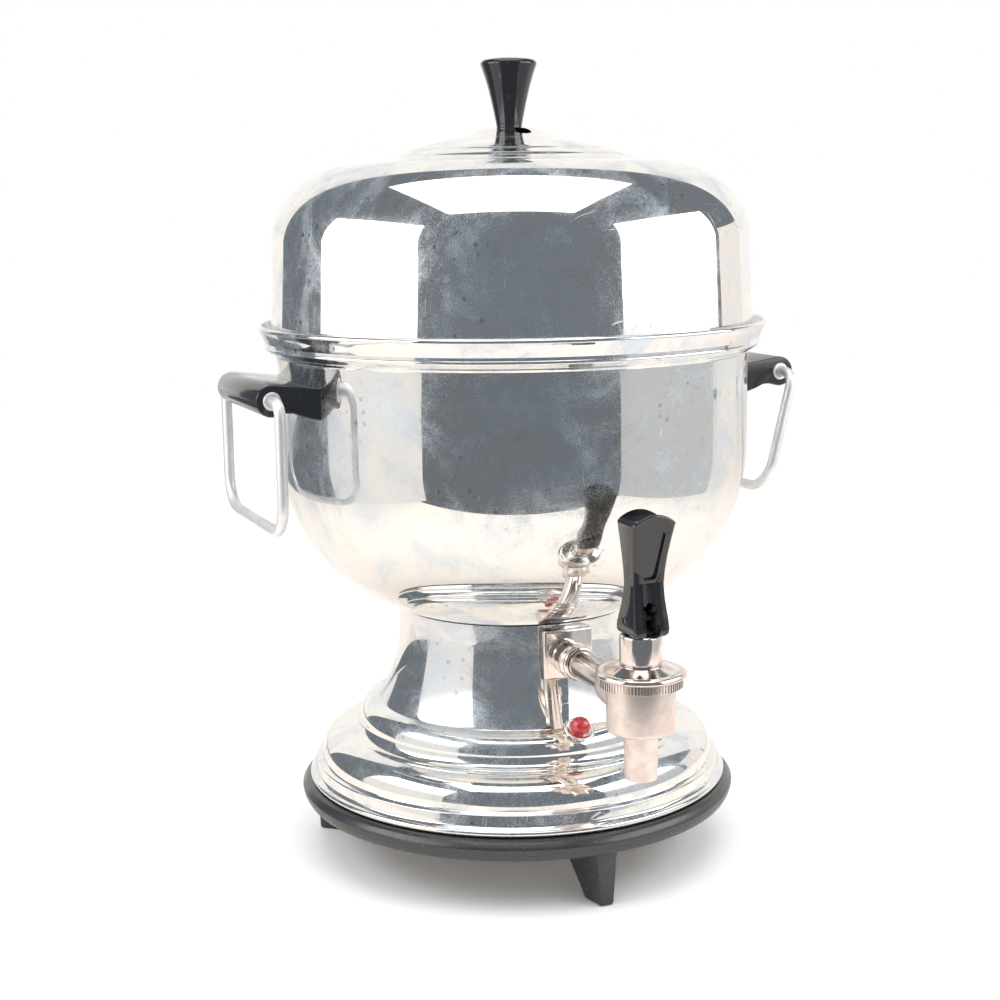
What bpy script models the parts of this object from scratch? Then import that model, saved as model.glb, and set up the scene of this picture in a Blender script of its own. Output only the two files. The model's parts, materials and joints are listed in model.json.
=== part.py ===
"""Electric coffee urn: lift-off domed lid, polished bowl with two wire bails, stepped pedestal on a
three-legged moulded ring, lever tap, pilot lamp, percolator insert and heater.

Frame: origin on the floor under the urn's axis, +Z up, tap towards -Y, bails at -X and +X. Metres.
"""

from math import atan2, cos, pi, radians, sin

import bmesh
import bpy
from mathutils import Vector

MM = 0.001
GAP = 0.3 * MM

# Driving dimensions
rim_radius = 152.5 * MM
rim_z = 326.0 * MM
wall_radius = 141.5 * MM
wall_bottom_z = 251.0 * MM
bowl_arc_radius = 103.0 * MM
sheet = 0.9 * MM
sump_radius = 40.5 * MM
sump_floor_z = 110.0 * MM

lid_edge_z = 312.4 * MM
lid_edge_radius = 145.0 * MM
lid_wall_radius = 142.0 * MM
lid_shoulder_z = 373.0 * MM
lid_boss_z = 438.5 * MM
vent_radius = 5.0 * MM

knob_top_z = 479.0 * MM
knob_top_radius = 16.8 * MM
knob_base_radius = 7.5 * MM

neck_radius = 71.8 * MM
neck_top_z = 153.0 * MM
neck_straight_z = 142.0 * MM
neck_flare_radius = 89.3 * MM
step_one = (86.0 * MM, 82.5 * MM)
step_one_radius = 11.5 * MM
step_two = (104.0 * MM, 60.5 * MM)
base_bead = (127.6 * MM, 47.8 * MM)
base_bead_radius = 1.9 * MM

ring_top_z = 45.5 * MM
ring_radius = 134.6 * MM
ring_bottom_z = 32.8 * MM
ring_inner_radius = 104.0 * MM
foot_outer_radius = 128.0 * MM
foot_inner_radius = 112.0 * MM
foot_root_radius = 97.0 * MM
foot_azimuths = {"foot_front": -90, "foot_right": 30, "foot_left": 150}

cover_radius = 116.0 * MM
cover_top_z = 41.0 * MM
cover_screw_radius = 110.0 * MM

pivot_x = 162.5 * MM
pivot_z = 289.8 * MM
bracket_half_width = 43.5 * MM
bracket_barrel_radius = 9.0 * MM
bail_wire_radius = 3.15 * MM
bail_half_width = 58.7 * MM
bail_drop = 73.0 * MM
bail_lean = {"left": 0.0, "right": 14.5}

tap_y = -167.7 * MM
shank_z = 134.0 * MM
shank_radius = 8.0 * MM
tap_boss_radius = 12.7 * MM
tap_barrel_radius = 18.8 * MM
tap_barrel_top_z = 141.0 * MM
tap_barrel_bottom_z = 115.8 * MM
spout_radius = 9.2 * MM
spout_end_z = 89.4 * MM
bonnet_radius = 24.6 * MM
sleeve_radius = 11.66 * MM
sleeve_top_z = 169.6 * MM
pin_z = 177.5 * MM
pin_radius = 1.4 * MM
lever_top_z = 236.0 * MM

lamp_tilt = 60.0
lens_radius = 6.1 * MM

inlet_z = 116.0 * MM
inlet_half_width = 18.0 * MM
inlet_half_height = 12.0 * MM

basket_radius = 58.0 * MM
basket_floor_z = 222.0 * MM
basket_top_z = 290.0 * MM

ROUND_STEPS = 32
SMALL_STEPS = 20


# Scene and material helpers


def clear_scene():
    for obj in list(bpy.data.objects):
        bpy.data.objects.remove(obj)


def new_collection(name, helper=False):
    group = bpy.data.collections.new(name)
    bpy.context.scene.collection.children.link(group)
    group.hide_render = helper
    return group


def new_material(name, colour, metallic, roughness, alpha=1.0):
    made = bpy.data.materials.new(name)
    made.use_nodes = True
    shader = made.node_tree.nodes["Principled BSDF"]
    shader.inputs["Base Color"].default_value = (*colour, 1.0)
    shader.inputs["Metallic"].default_value = metallic
    shader.inputs["Roughness"].default_value = roughness
    shader.inputs["Alpha"].default_value = alpha
    return made


clear_scene()
parts = new_collection("coffee_urn")
cutters = new_collection("coffee_urn_cutters", helper=True)

polished_steel = new_material("polished_steel", (0.72, 0.71, 0.69), 1.0, 0.06)
plain_steel = new_material("plain_steel", (0.60, 0.60, 0.61), 1.0, 0.30)
nickel_plate = new_material("nickel_plate", (0.75, 0.70, 0.66), 1.0, 0.16)
black_phenolic = new_material("black_phenolic", (0.012, 0.012, 0.013), 0.0, 0.18)
satin_phenolic = new_material("satin_phenolic", (0.030, 0.030, 0.032), 0.0, 0.40)
bright_wire = new_material("bright_wire", (0.78, 0.79, 0.81), 1.0, 0.14)
red_lens = new_material("red_lens", (0.75, 0.02, 0.03), 0.0, 0.08, 0.8)
spun_aluminium = new_material("spun_aluminium", (0.70, 0.71, 0.73), 1.0, 0.32)
brass_metal = new_material("brass_metal", (0.70, 0.52, 0.24), 1.0, 0.30)
rubber = new_material("rubber", (0.02, 0.02, 0.02), 0.0, 0.75)
lead_sleeve = new_material("lead_sleeve", (0.55, 0.52, 0.45), 0.0, 0.80)


def smooth(mesh):
    mesh.shade_smooth()
    mesh.set_sharp_from_angle(angle=radians(35))


def place(name, mesh, material, location=(0, 0, 0), rotation=(0, 0, 0), group=None):
    obj = bpy.data.objects.new(name, mesh)
    obj.location = location
    obj.rotation_euler = rotation
    mesh.materials.append(material)
    (group or parts).objects.link(obj)
    return obj


def as_mesh(curve_object):
    """Turns a curve object into a welded mesh object of the same name and place."""
    bpy.context.view_layer.update()
    graph = bpy.context.evaluated_depsgraph_get()
    mesh = bpy.data.meshes.new_from_object(curve_object.evaluated_get(graph))
    work = bmesh.new()
    work.from_mesh(mesh)
    bmesh.ops.remove_doubles(work, verts=work.verts, dist=0.01 * MM)
    bmesh.ops.recalc_face_normals(work, faces=work.faces)
    work.to_mesh(mesh)
    work.free()
    name = curve_object.name
    matrix = curve_object.matrix_world.copy()
    owner = curve_object.users_collection[0]
    bpy.data.objects.remove(curve_object)
    obj = bpy.data.objects.new(name, mesh)
    obj.matrix_world = matrix
    owner.objects.link(obj)
    smooth(mesh)
    return obj


# Outline helpers: a path is a list of (radius, z) pairs


def arc(centre, across, along, start, end, count):
    """Points on an ellipse round centre, from the start angle to the end angle in degrees."""
    angles = [radians(start + (end - start) * i / (count - 1)) for i in range(count)]
    return [(centre[0] + across * cos(a), centre[1] + along * sin(a)) for a in angles]


def inset(path, wall):
    """The path moved inwards by the wall thickness. The path runs down its outer side."""
    moved = []
    for i, (r, z) in enumerate(path):
        before = path[max(i - 1, 0)]
        after = path[min(i + 1, len(path) - 1)]
        along = Vector((after[0] - before[0], after[1] - before[1])).normalized()
        moved.append((max(r + wall * along.y, 0.0), z - wall * along.x))
    return moved


def shell_path(path, wall, rough):
    """A closed wall: down the outside, then up the inside along a rougher path of fewer points."""
    return path + inset(rough, wall)[::-1]


def turned(name, path, material, steps=ROUND_STEPS, ring=False, group=None, **where):
    """A solid of revolution. The path runs down its outer side, and a ring's path closes on itself."""
    mesh = bpy.data.meshes.new(name)
    edges = [(i, i + 1) for i in range(len(path) - 1)]
    if ring:
        edges.append((len(path) - 1, 0))
    mesh.from_pydata([(r, 0.0, z) for r, z in path], edges, [])
    obj = place(name, mesh, material, group=group, **where)
    screw = obj.modifiers.new("turn", "SCREW")
    screw.steps = steps
    screw.render_steps = steps
    screw.use_merge_vertices = True
    screw.merge_threshold = 0.00002
    return obj


def flat_piece(name, outline, thickness, material, group=None, **where):
    """A flat outline in the local XY plane, extruded evenly to both sides of it."""
    data = bpy.data.curves.new(name, "CURVE")
    data.dimensions = "2D"
    data.fill_mode = "BOTH"
    data.extrude = thickness / 2
    spline = data.splines.new("POLY")
    spline.points.add(len(outline) - 1)
    for point, (x, y) in zip(spline.points, outline):
        point.co = (x, y, 0.0, 1.0)
    spline.use_cyclic_u = True
    obj = bpy.data.objects.new(name, data)
    obj.location = where.get("location", (0, 0, 0))
    obj.rotation_euler = where.get("rotation", (0, 0, 0))
    (group or parts).objects.link(obj)
    obj = as_mesh(obj)
    obj.data.materials.append(material)
    return obj


def wire(name, points, radius, material, resolution=2, **where):
    """A round wire through the points."""
    data = bpy.data.curves.new(name, "CURVE")
    data.dimensions = "3D"
    data.bevel_depth = radius
    data.bevel_resolution = resolution
    data.use_fill_caps = True
    spline = data.splines.new("POLY")
    spline.points.add(len(points) - 1)
    for point, (x, y, z) in zip(spline.points, points):
        point.co = (x, y, z, 1.0)
    obj = bpy.data.objects.new(name, data)
    obj.location = where.get("location", (0, 0, 0))
    obj.rotation_euler = where.get("rotation", (0, 0, 0))
    parts.objects.link(obj)
    data.materials.append(material)
    return obj


def rounded_box(half_x, half_y, radius, count=4):
    """A rectangle's outline with round corners."""
    outline = []
    for x, y, start in ((1, 1, 0), (-1, 1, 90), (-1, -1, 180), (1, -1, 270)):
        centre = (x * (half_x - radius), y * (half_y - radius))
        outline += arc(centre, radius, radius, start, start + 90, count)
    return outline


def block(name, low, high, material, group=None):
    mesh = bpy.data.meshes.new(name)
    work = bmesh.new()
    bmesh.ops.create_cube(work, size=1.0)
    size = Vector(high) - Vector(low)
    bmesh.ops.scale(work, vec=size, verts=work.verts)
    bmesh.ops.translate(work, vec=(Vector(low) + Vector(high)) / 2, verts=work.verts)
    work.to_mesh(mesh)
    work.free()
    return place(name, mesh, material, group=group)


def rod(name, radius, start, end, material, steps=SMALL_STEPS, group=None):
    """A cylinder from one point to another."""
    start = Vector(start)
    end = Vector(end)
    mesh = bpy.data.meshes.new(name)
    work = bmesh.new()
    bmesh.ops.create_cone(
        work, cap_ends=True, segments=steps, radius1=radius, radius2=radius, depth=(end - start).length
    )
    work.to_mesh(mesh)
    work.free()
    turn = (end - start).to_track_quat("Z", "Y").to_euler()
    return place(name, mesh, material, location=(start + end) / 2, rotation=turn, group=group)


def hex_nut(name, corner_radius, bore_radius, start, end, material):
    nut = rod(name, corner_radius, start, end, material, 6)
    start = Vector(start)
    end = Vector(end)
    reach = (end - start) / 2
    return combine(nut, "DIFFERENCE", cutter_rod("cut_" + name, bore_radius, start - reach, end + reach, 16))


def combine(obj, operation, *tools):
    """Cuts the tools from the object, joins them to it, or keeps what they share."""
    for tool in tools:
        tool.hide_render = True
        tool.display_type = "WIRE"
        step = obj.modifiers.new(tool.name, "BOOLEAN")
        step.operation = operation
        step.solver = "EXACT"
        step.object = tool
    return obj


def cutter_rod(name, radius, start, end, steps=SMALL_STEPS):
    return rod(name, radius, start, end, plain_steel, steps, group=cutters)


def cutter_block(name, low, high):
    return block(name, low, high, plain_steel, group=cutters)


# Where each screw and pin stands, used by the piece and by the holes for it


def bracket_screw_places(side):
    sign = -1 if side == "left" else 1
    return {
        f"bracket_screw_{side}_{end}": (sign, way * 24.0 * MM, 286.5 * MM)
        for end, way in (("front", -1), ("rear", 1))
    }


def cover_screw_places():
    angles = {"cover_screw_a": -30, "cover_screw_b": 90, "cover_screw_c": 210}
    return {
        name: (cover_screw_radius * cos(radians(a)), cover_screw_radius * sin(radians(a)))
        for name, a in angles.items()
    }


def lamp_frame():
    """The lamp's seat on the first step and its tilt: local +Z points up and out."""
    out = -(step_one[0] + step_one_radius * cos(radians(66)))
    up = step_one[1] + step_one_radius * sin(radians(66))
    return (0.0, out, up), (radians(90 - lamp_tilt), 0.0, 0.0)


# Lid


def lid_outer():
    path = [(0.0, lid_boss_z), (13.5 * MM, lid_boss_z), (15.5 * MM, lid_boss_z - 0.4 * MM)]
    path += [(24.5 * MM, 434.2 * MM), (69.0 * MM, 424.4 * MM), (71.2 * MM, 421.6 * MM)]
    path += lid_shoulder(8)
    return path


def lid_shoulder(count):
    centre = (88.0 * MM, lid_shoulder_z)
    path = arc(centre, lid_wall_radius - centre[0], 46.0 * MM, 90, 0, count)
    return path + [(144.0 * MM, 331.0 * MM), (lid_edge_radius, lid_edge_z)]


def make_lid():
    rough = [(0.0, lid_boss_z), (14.5 * MM, lid_boss_z), (24.5 * MM, 434.0 * MM), (70.0 * MM, 421.9 * MM)]
    rough += lid_shoulder(6)
    lid = turned("lid_shell", shell_path(lid_outer(), 0.8 * MM, rough), polished_steel)
    slope = Vector((0.0, -0.42, 0.91))
    vent = Vector((0.0, -19.3 * MM, 436.4 * MM))
    combine(
        lid,
        "DIFFERENCE",
        cutter_rod("cut_vent", vent_radius, vent - slope * 6 * MM, vent + slope * 6 * MM),
        cutter_rod("cut_knob_screw", 1.9 * MM, (0, 0, 430 * MM), (0, 0, 445 * MM), 12),
    )


def make_knob():
    base_z = lid_boss_z + GAP
    path = arc((0.0, knob_top_z - 2.2 * MM), knob_top_radius - 1.2 * MM, 2.2 * MM, 90, 25, 4)
    path[0] = (0.0, knob_top_z)
    path += [(knob_top_radius, knob_top_z - 2.4 * MM), (12.4 * MM, 462.0 * MM), (9.2 * MM, 449.0 * MM)]
    path += [(knob_base_radius, base_z + 1.2 * MM), (7.2 * MM, base_z), (1.9 * MM, base_z)]
    path += [(1.9 * MM, 450 * MM), (0.0, 450 * MM)]
    turned("lid_knob", path, black_phenolic, SMALL_STEPS)
    path = [(1.9 * MM, 437.3 * MM), (9.0 * MM, 437.3 * MM), (9.0 * MM, 436.5 * MM), (1.9 * MM, 436.5 * MM)]
    turned("knob_washer", path, plain_steel, SMALL_STEPS, ring=True)
    path = [(0.0, 448 * MM), (1.5 * MM, 448 * MM), (1.5 * MM, 436.2 * MM), (3.8 * MM, 436.2 * MM)]
    path += [(3.4 * MM, 434.4 * MM), (0.0, 434.0 * MM)]
    turned("knob_screw", path, plain_steel, 12)


# Bowl


def vessel_path():
    """Up the inside from the sump floor to the rolled rim, then down the outside."""
    bowl = (wall_radius - bowl_arc_radius, wall_bottom_z)
    outer = arc((rim_radius - 1.6 * MM, rim_z - 1.6 * MM), 1.6 * MM, 1.6 * MM, 135, -60, 4)
    outer += [(150.1 * MM, 321.0 * MM), (148.4 * MM, 315.6 * MM)]
    outer += arc((147.2 * MM, 313.2 * MM), 1.6 * MM, 1.6 * MM, 30, -60, 3)
    outer += [(144.6 * MM, 309.8 * MM), (wall_radius, 307.0 * MM)]
    outer += arc(bowl, bowl_arc_radius, bowl_arc_radius, 0, -80, 9)
    outer += [(43.0 * MM, 149.0 * MM), (sump_radius, 147.0 * MM), (sump_radius, 111.5 * MM)]
    outer += [(39.0 * MM, sump_floor_z), (0.0, sump_floor_z)]
    inner = [(149.2 * MM, 323.2 * MM), (148.2 * MM, 318.0 * MM), (147.2 * MM, 314.6 * MM)]
    inner += [(144.6 * MM, 311.2 * MM), (wall_radius - sheet, 307.6 * MM)]
    arc_radius = bowl_arc_radius - sheet
    inner += arc(bowl, arc_radius, arc_radius, 0, -80, 9)
    inner += [(sump_radius - sheet, 147.6 * MM), (sump_radius - sheet, 110.9 * MM), (0.0, 110.9 * MM)]
    return inner[::-1] + outer


def make_vessel():
    vessel = turned("vessel", vessel_path(), polished_steel)
    holes = [
        cutter_rod("cut_sump_outlet", shank_radius + GAP, (0, -30 * MM, shank_z), (0, -50 * MM, shank_z), 16)
    ]
    for side in ("left", "right"):
        for name, (sign, y, z) in bracket_screw_places(side).items():
            start = (sign * 130 * MM, y, z)
            end = (sign * 150 * MM, y, z)
            holes.append(cutter_rod("cut_vessel_" + name, 2.6 * MM, start, end, 12))
    combine(vessel, "DIFFERENCE", *holes)


# Pedestal and base


def neck_outer(grow=0.0, top=neck_top_z, count=5):
    """The neck's outer path, down to where it meets the first step."""
    path = [(neck_radius + grow, top)]
    centre = (neck_radius + neck_flare_radius, neck_straight_z)
    reach = neck_flare_radius - grow
    return path + arc(centre, reach, reach, 180, 180 + 32.5, count)


def pedestal_path():
    """The outer path and a rougher one for the inside."""
    cove = (step_one[0] + step_one_radius + 7 * MM, step_one[1])
    path = neck_outer()
    path += arc(step_one, step_one_radius, step_one_radius, 88, 0, 5)
    path += arc(cove, 7 * MM, 7 * MM, 180, 270, 4)[1:]
    path += arc(step_two, 17.5 * MM, 15.0 * MM, 75, 0, 4)
    path += [(121.5 * MM, 58.6 * MM), (123.6 * MM, 57.4 * MM), (123.9 * MM, 54.4 * MM)]
    path += [(127.4 * MM, 51.0 * MM), (127.0 * MM, 49.9 * MM)]
    path += arc(base_bead, base_bead_radius, base_bead_radius, 50, -80, 3)
    rough = neck_outer(count=4)
    rough += arc(step_one, step_one_radius, step_one_radius, 86, 0, 4)
    rough += arc(cove, 7 * MM, 7 * MM, 180, 270, 3)[1:]
    rough += arc(step_two, 17.5 * MM, 15.0 * MM, 75, 0, 3)
    rough += [(122.6 * MM, 54.4 * MM), (127.0 * MM, 50.2 * MM), path[-1]]
    return path, rough


def make_pedestal():
    outer, rough = pedestal_path()
    pedestal = turned("pedestal", shell_path(outer, sheet, rough), polished_steel, ring=True)
    seat, turn = lamp_frame()
    axis = Vector((0.0, -cos(radians(lamp_tilt)), sin(radians(lamp_tilt))))
    middle = Vector(seat)
    shank_hole = cutter_rod(
        "cut_neck_shank", shank_radius + 0.8 * MM, (0, -60 * MM, shank_z), (0, -90 * MM, shank_z), 16
    )
    lamp_hole = cutter_rod("cut_lamp", 5.9 * MM, middle - axis * 9 * MM, middle + axis * 9 * MM, 16)
    inlet_outline = rounded_box(inlet_half_width + 0.5 * MM, inlet_half_height + 0.5 * MM, 5 * MM, 3)
    inlet_hole = flat_piece(
        "cut_inlet",
        inlet_outline,
        40 * MM,
        plain_steel,
        group=cutters,
        location=(0, 78 * MM, inlet_z),
        rotation=(radians(90), 0, 0),
    )
    combine(pedestal, "DIFFERENCE", shank_hole, lamp_hole, inlet_hole)


def make_base():
    path = [(129.6 * MM, ring_top_z), (132.6 * MM, 44.0 * MM), (ring_radius, 41.6 * MM)]
    path += [(133.6 * MM, 36.6 * MM), (131.5 * MM, ring_bottom_z), (119.0 * MM, ring_bottom_z)]
    path += [(119.0 * MM, cover_top_z + GAP), (ring_inner_radius, cover_top_z + GAP)]
    path += [(ring_inner_radius, ring_top_z)]
    ring = turned("foot_ring", path, satin_phenolic, ring=True)
    path = [(3.2 * MM, cover_top_z), (cover_radius, cover_top_z), (cover_radius, cover_top_z - 1.4 * MM)]
    path += [(3.2 * MM, cover_top_z - 1.4 * MM)]
    cover = turned("bottom_cover", path, plain_steel, ring=True)
    for name, (x, y) in cover_screw_places().items():
        hole = cutter_rod("cut_" + name, 2.3 * MM, (x, y, 36 * MM), (x, y, 44 * MM), 12)
        combine(ring, "DIFFERENCE", hole)
        combine(cover, "DIFFERENCE", hole)
        path = [(0.0, 43.6 * MM), (1.9 * MM, 43.6 * MM), (1.9 * MM, 39.2 * MM), (4.0 * MM, 39.2 * MM)]
        path += [(3.4 * MM, 37.2 * MM), (0.0, 36.8 * MM)]
        turned(name, path, plain_steel, 12, location=(x, y, 0))


def make_feet():
    """Each foot is a fin: narrow at its upright outer face, wider inwards and towards its root."""
    top = ring_bottom_z - GAP
    corners = {
        (1, 0): (foot_outer_radius - 0.5 * MM, 4.0 * MM),
        (1, 1): (foot_outer_radius, 6.2 * MM),
        (0, 0): (foot_inner_radius, 7.0 * MM),
        (0, 1): (foot_root_radius, 17.0 * MM),
    }
    for name, azimuth in foot_azimuths.items():
        mesh = bpy.data.meshes.new(name)
        work = bmesh.new()
        bmesh.ops.create_cube(work, size=2.0)
        for vert in work.verts:
            outwards, upwards = vert.co.x > 0, vert.co.z > 0
            radius, half_width = corners[outwards, upwards]
            vert.co = (radius, vert.co.y * half_width, top if upwards else 0.0)
        work.to_mesh(mesh)
        work.free()
        foot = place(name, mesh, satin_phenolic, rotation=(0, 0, radians(azimuth)))
        edge = foot.modifiers.new("edges", "BEVEL")
        edge.width = 1.2 * MM
        edge.segments = 2


# Heater and wiring inside the pedestal


def make_heater():
    hole = 3.0 * MM
    path = [(hole, 109.7 * MM), (36 * MM, 109.7 * MM), (36 * MM, 102 * MM), (hole, 102 * MM)]
    turned("heater_plate", path, spun_aluminium, 32, ring=True)
    path = arc((26 * MM, 98.0 * MM), 3.6 * MM, 3.6 * MM, 90, -270, 9)[:-1]
    turned("heating_element", path, plain_steel, 24, ring=True)
    path = [(hole, 94 * MM), (34 * MM, 94 * MM), (34 * MM, 92 * MM), (hole, 92 * MM)]
    turned("heater_clamp", path, plain_steel, 24, ring=True)
    block("thermostat", (-30 * MM, 8 * MM, 80 * MM), (-12 * MM, 22 * MM, 91.7 * MM), black_phenolic)
    path = [(0.0, 109.7 * MM), (2.6 * MM, 109.7 * MM), (2.6 * MM, 33.5 * MM), (0.0, 33.5 * MM)]
    turned("tie_stud", path, plain_steel, 16)
    hex_nut("tie_nut", 6.0 * MM, 3.0 * MM, (0, 0, 39.2 * MM), (0, 0, 35.0 * MM), plain_steel)


def make_leads():
    """Two sleeved leads, from the inlet pins to the thermostat and to the heating element."""
    back = 63.2 * MM
    route = [(-9.5, back / MM, 116), (-10, 56, 114), (-12, 48, 106), (-16, 38, 96), (-19, 30, 88), (-20, 22.6, 85)]
    wire("lead_thermostat", [(x * MM, y * MM, z * MM) for x, y, z in route], 1.3 * MM, lead_sleeve)
    route = [(9.5, back / MM, 116), (10, 56, 114), (14, 50, 107), (18, 44, 101), (19, 36, 98.5), (17, 28.6, 98)]
    wire("lead_element", [(x * MM, y * MM, z * MM) for x, y, z in route], 1.3 * MM, lead_sleeve)


def make_lamp():
    seat, turn = lamp_frame()
    path = [(5.4 * MM, 2.4 * MM), (6.6 * MM, 2.2 * MM), (8.4 * MM, 2.6 * MM), (9.0 * MM, 1.8 * MM)]
    path += [(8.6 * MM, 0.9 * MM), (5.5 * MM, 0.7 * MM), (5.5 * MM, -9 * MM), (4.6 * MM, -9 * MM)]
    path += [(4.6 * MM, 1.0 * MM)]
    turned("lamp_bezel", path, polished_steel, SMALL_STEPS, ring=True, location=seat, rotation=turn)
    path = arc((0.0, 4.2 * MM), lens_radius, lens_radius, 90, -8, 6)
    path[0] = (0.0, path[0][1])
    path += [(4.4 * MM, 2.7 * MM), (4.3 * MM, -6 * MM), (0.0, -6 * MM)]
    turned("lamp_lens", path, red_lens, SMALL_STEPS, location=seat, rotation=turn)
    path = [(0.0, -9.4 * MM), (6.6 * MM, -9.4 * MM), (6.6 * MM, -22 * MM), (0.0, -22 * MM)]
    turned("lamp_housing", path, black_phenolic, 16, location=seat, rotation=turn)


def make_inlet():
    """A shrouded two-pin inlet in the back of the neck."""
    outer = rounded_box(inlet_half_width, inlet_half_height, 4.5 * MM)
    flat = (radians(90), 0, 0)
    low_y = 66 * MM
    high_y = 89 * MM
    centre = (0, (low_y + high_y) / 2, inlet_z)
    shroud = flat_piece("inlet_shroud", outer, high_y - low_y, black_phenolic, location=centre, rotation=flat)
    pocket = rounded_box(inlet_half_width - 3 * MM, inlet_half_height - 3 * MM, 2.5 * MM)
    centre = (0, 70 * MM + 15 * MM, inlet_z)
    cut = flat_piece("cut_pocket", pocket, 30 * MM, plain_steel, cutters, location=centre, rotation=flat)
    combine(shroud, "DIFFERENCE", cut)
    for name, x in (("inlet_pin_left", -9.5 * MM), ("inlet_pin_right", 9.5 * MM)):
        hole = cutter_rod("cut_" + name, 2.7 * MM, (x, 60 * MM, inlet_z), (x, 75 * MM, inlet_z), 16)
        combine(shroud, "DIFFERENCE", hole)
        path = [(0.0, 21 * MM), (1.4 * MM, 20.6 * MM), (2.4 * MM, 19 * MM), (2.4 * MM, 0.0), (0.0, 0.0)]
        turned(name, path, brass_metal, 16, location=(x, 63.5 * MM, inlet_z), rotation=(radians(-90), 0, 0))


# Handles


def bracket_outline():
    """The bracket's side outline round the pivot, with its body side left long for the cut."""
    outline = arc((0.0, 0.0), bracket_barrel_radius, bracket_barrel_radius, -105, 97, 9)
    root = 31.0 * MM
    outline += [(-root, 5.0 * MM), (-root, -13.2 * MM), (-24 * MM, -12.0 * MM), (-13 * MM, -8.2 * MM)]
    return outline


def make_handle(side):
    sign = -1 if side == "left" else 1
    outline = [(sign * x, z) for x, z in bracket_outline()]
    if side == "left":
        outline.reverse()
    pivot = (sign * pivot_x, 0.0, pivot_z)
    bracket = flat_piece(
        f"bracket_{side}",
        outline,
        2 * bracket_half_width,
        black_phenolic,
        location=pivot,
        rotation=(radians(90), 0, 0),
    )
    body_cut = cutter_rod(
        f"cut_bracket_{side}", wall_radius + GAP, (0, 0, 260 * MM), (0, 0, 320 * MM), ROUND_STEPS * 2
    )
    combine(bracket, "DIFFERENCE", body_cut)
    for end, way in (("front", -1), ("rear", 1)):
        face = way * bracket_half_width
        inner = way * 31.0 * MM
        x = pivot[0]
        bore = cutter_rod(
            f"cut_bore_{side}_{end}", 5.5 * MM, (x, inner, pivot_z), (x, face + way * 3 * MM, pivot_z)
        )
        combine(bracket, "DIFFERENCE", bore)
        path = [(3.45 * MM, 1.0 * MM), (4.6 * MM, 1.2 * MM), (5.15 * MM, 0.6 * MM), (5.15 * MM, -12.0 * MM)]
        path += [(3.45 * MM, -12.0 * MM)]
        turned(
            f"ferrule_{side}_{end}",
            path,
            bright_wire,
            SMALL_STEPS,
            ring=True,
            location=(x, face, pivot_z),
            rotation=(radians(90) * -way, 0, 0),
        )
    for name, (_, y, z) in bracket_screw_places(side).items():
        tip = sign * 154 * MM
        combine(
            bracket, "DIFFERENCE", cutter_rod("cut_" + name, 2.6 * MM, (sign * 130 * MM, y, z), (tip, y, z), 12)
        )
        path = [(0.0, 16.5 * MM), (2.2 * MM, 16.5 * MM), (2.2 * MM, 0.0), (5.0 * MM, 0.0)]
        path += [(4.4 * MM, -2.2 * MM), (0.0, -2.6 * MM)]
        turned(
            name,
            path,
            plain_steel,
            12,
            location=(sign * 137.0 * MM, y, z),
            rotation=(0, sign * radians(90), 0),
        )


def bail_points():
    """One side of the bail from its end in the ferrule to the middle of the bottom bar, then mirrored."""
    top_bend = 9.0 * MM
    low_bend = 19.0 * MM
    half = [(33.0 * MM, 0.0)]
    half += arc((bail_half_width - top_bend, -top_bend), top_bend, top_bend, 90, 0, 5)
    low = (bail_half_width - low_bend, low_bend - bail_drop)
    half += arc(low, low_bend, low_bend, 0, -90, 7)
    whole = half + [(-y, z) for y, z in half[::-1]]
    return [(0.0, y, z) for y, z in whole]


def make_bail(side):
    sign = -1 if side == "left" else 1
    lean = radians(bail_lean[side]) * sign
    bail = wire(f"bail_{side}", bail_points(), bail_wire_radius, bright_wire)
    bail.location = (sign * pivot_x, 0.0, pivot_z)
    bail.rotation_euler = (0, lean, 0)


# Tap


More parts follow.
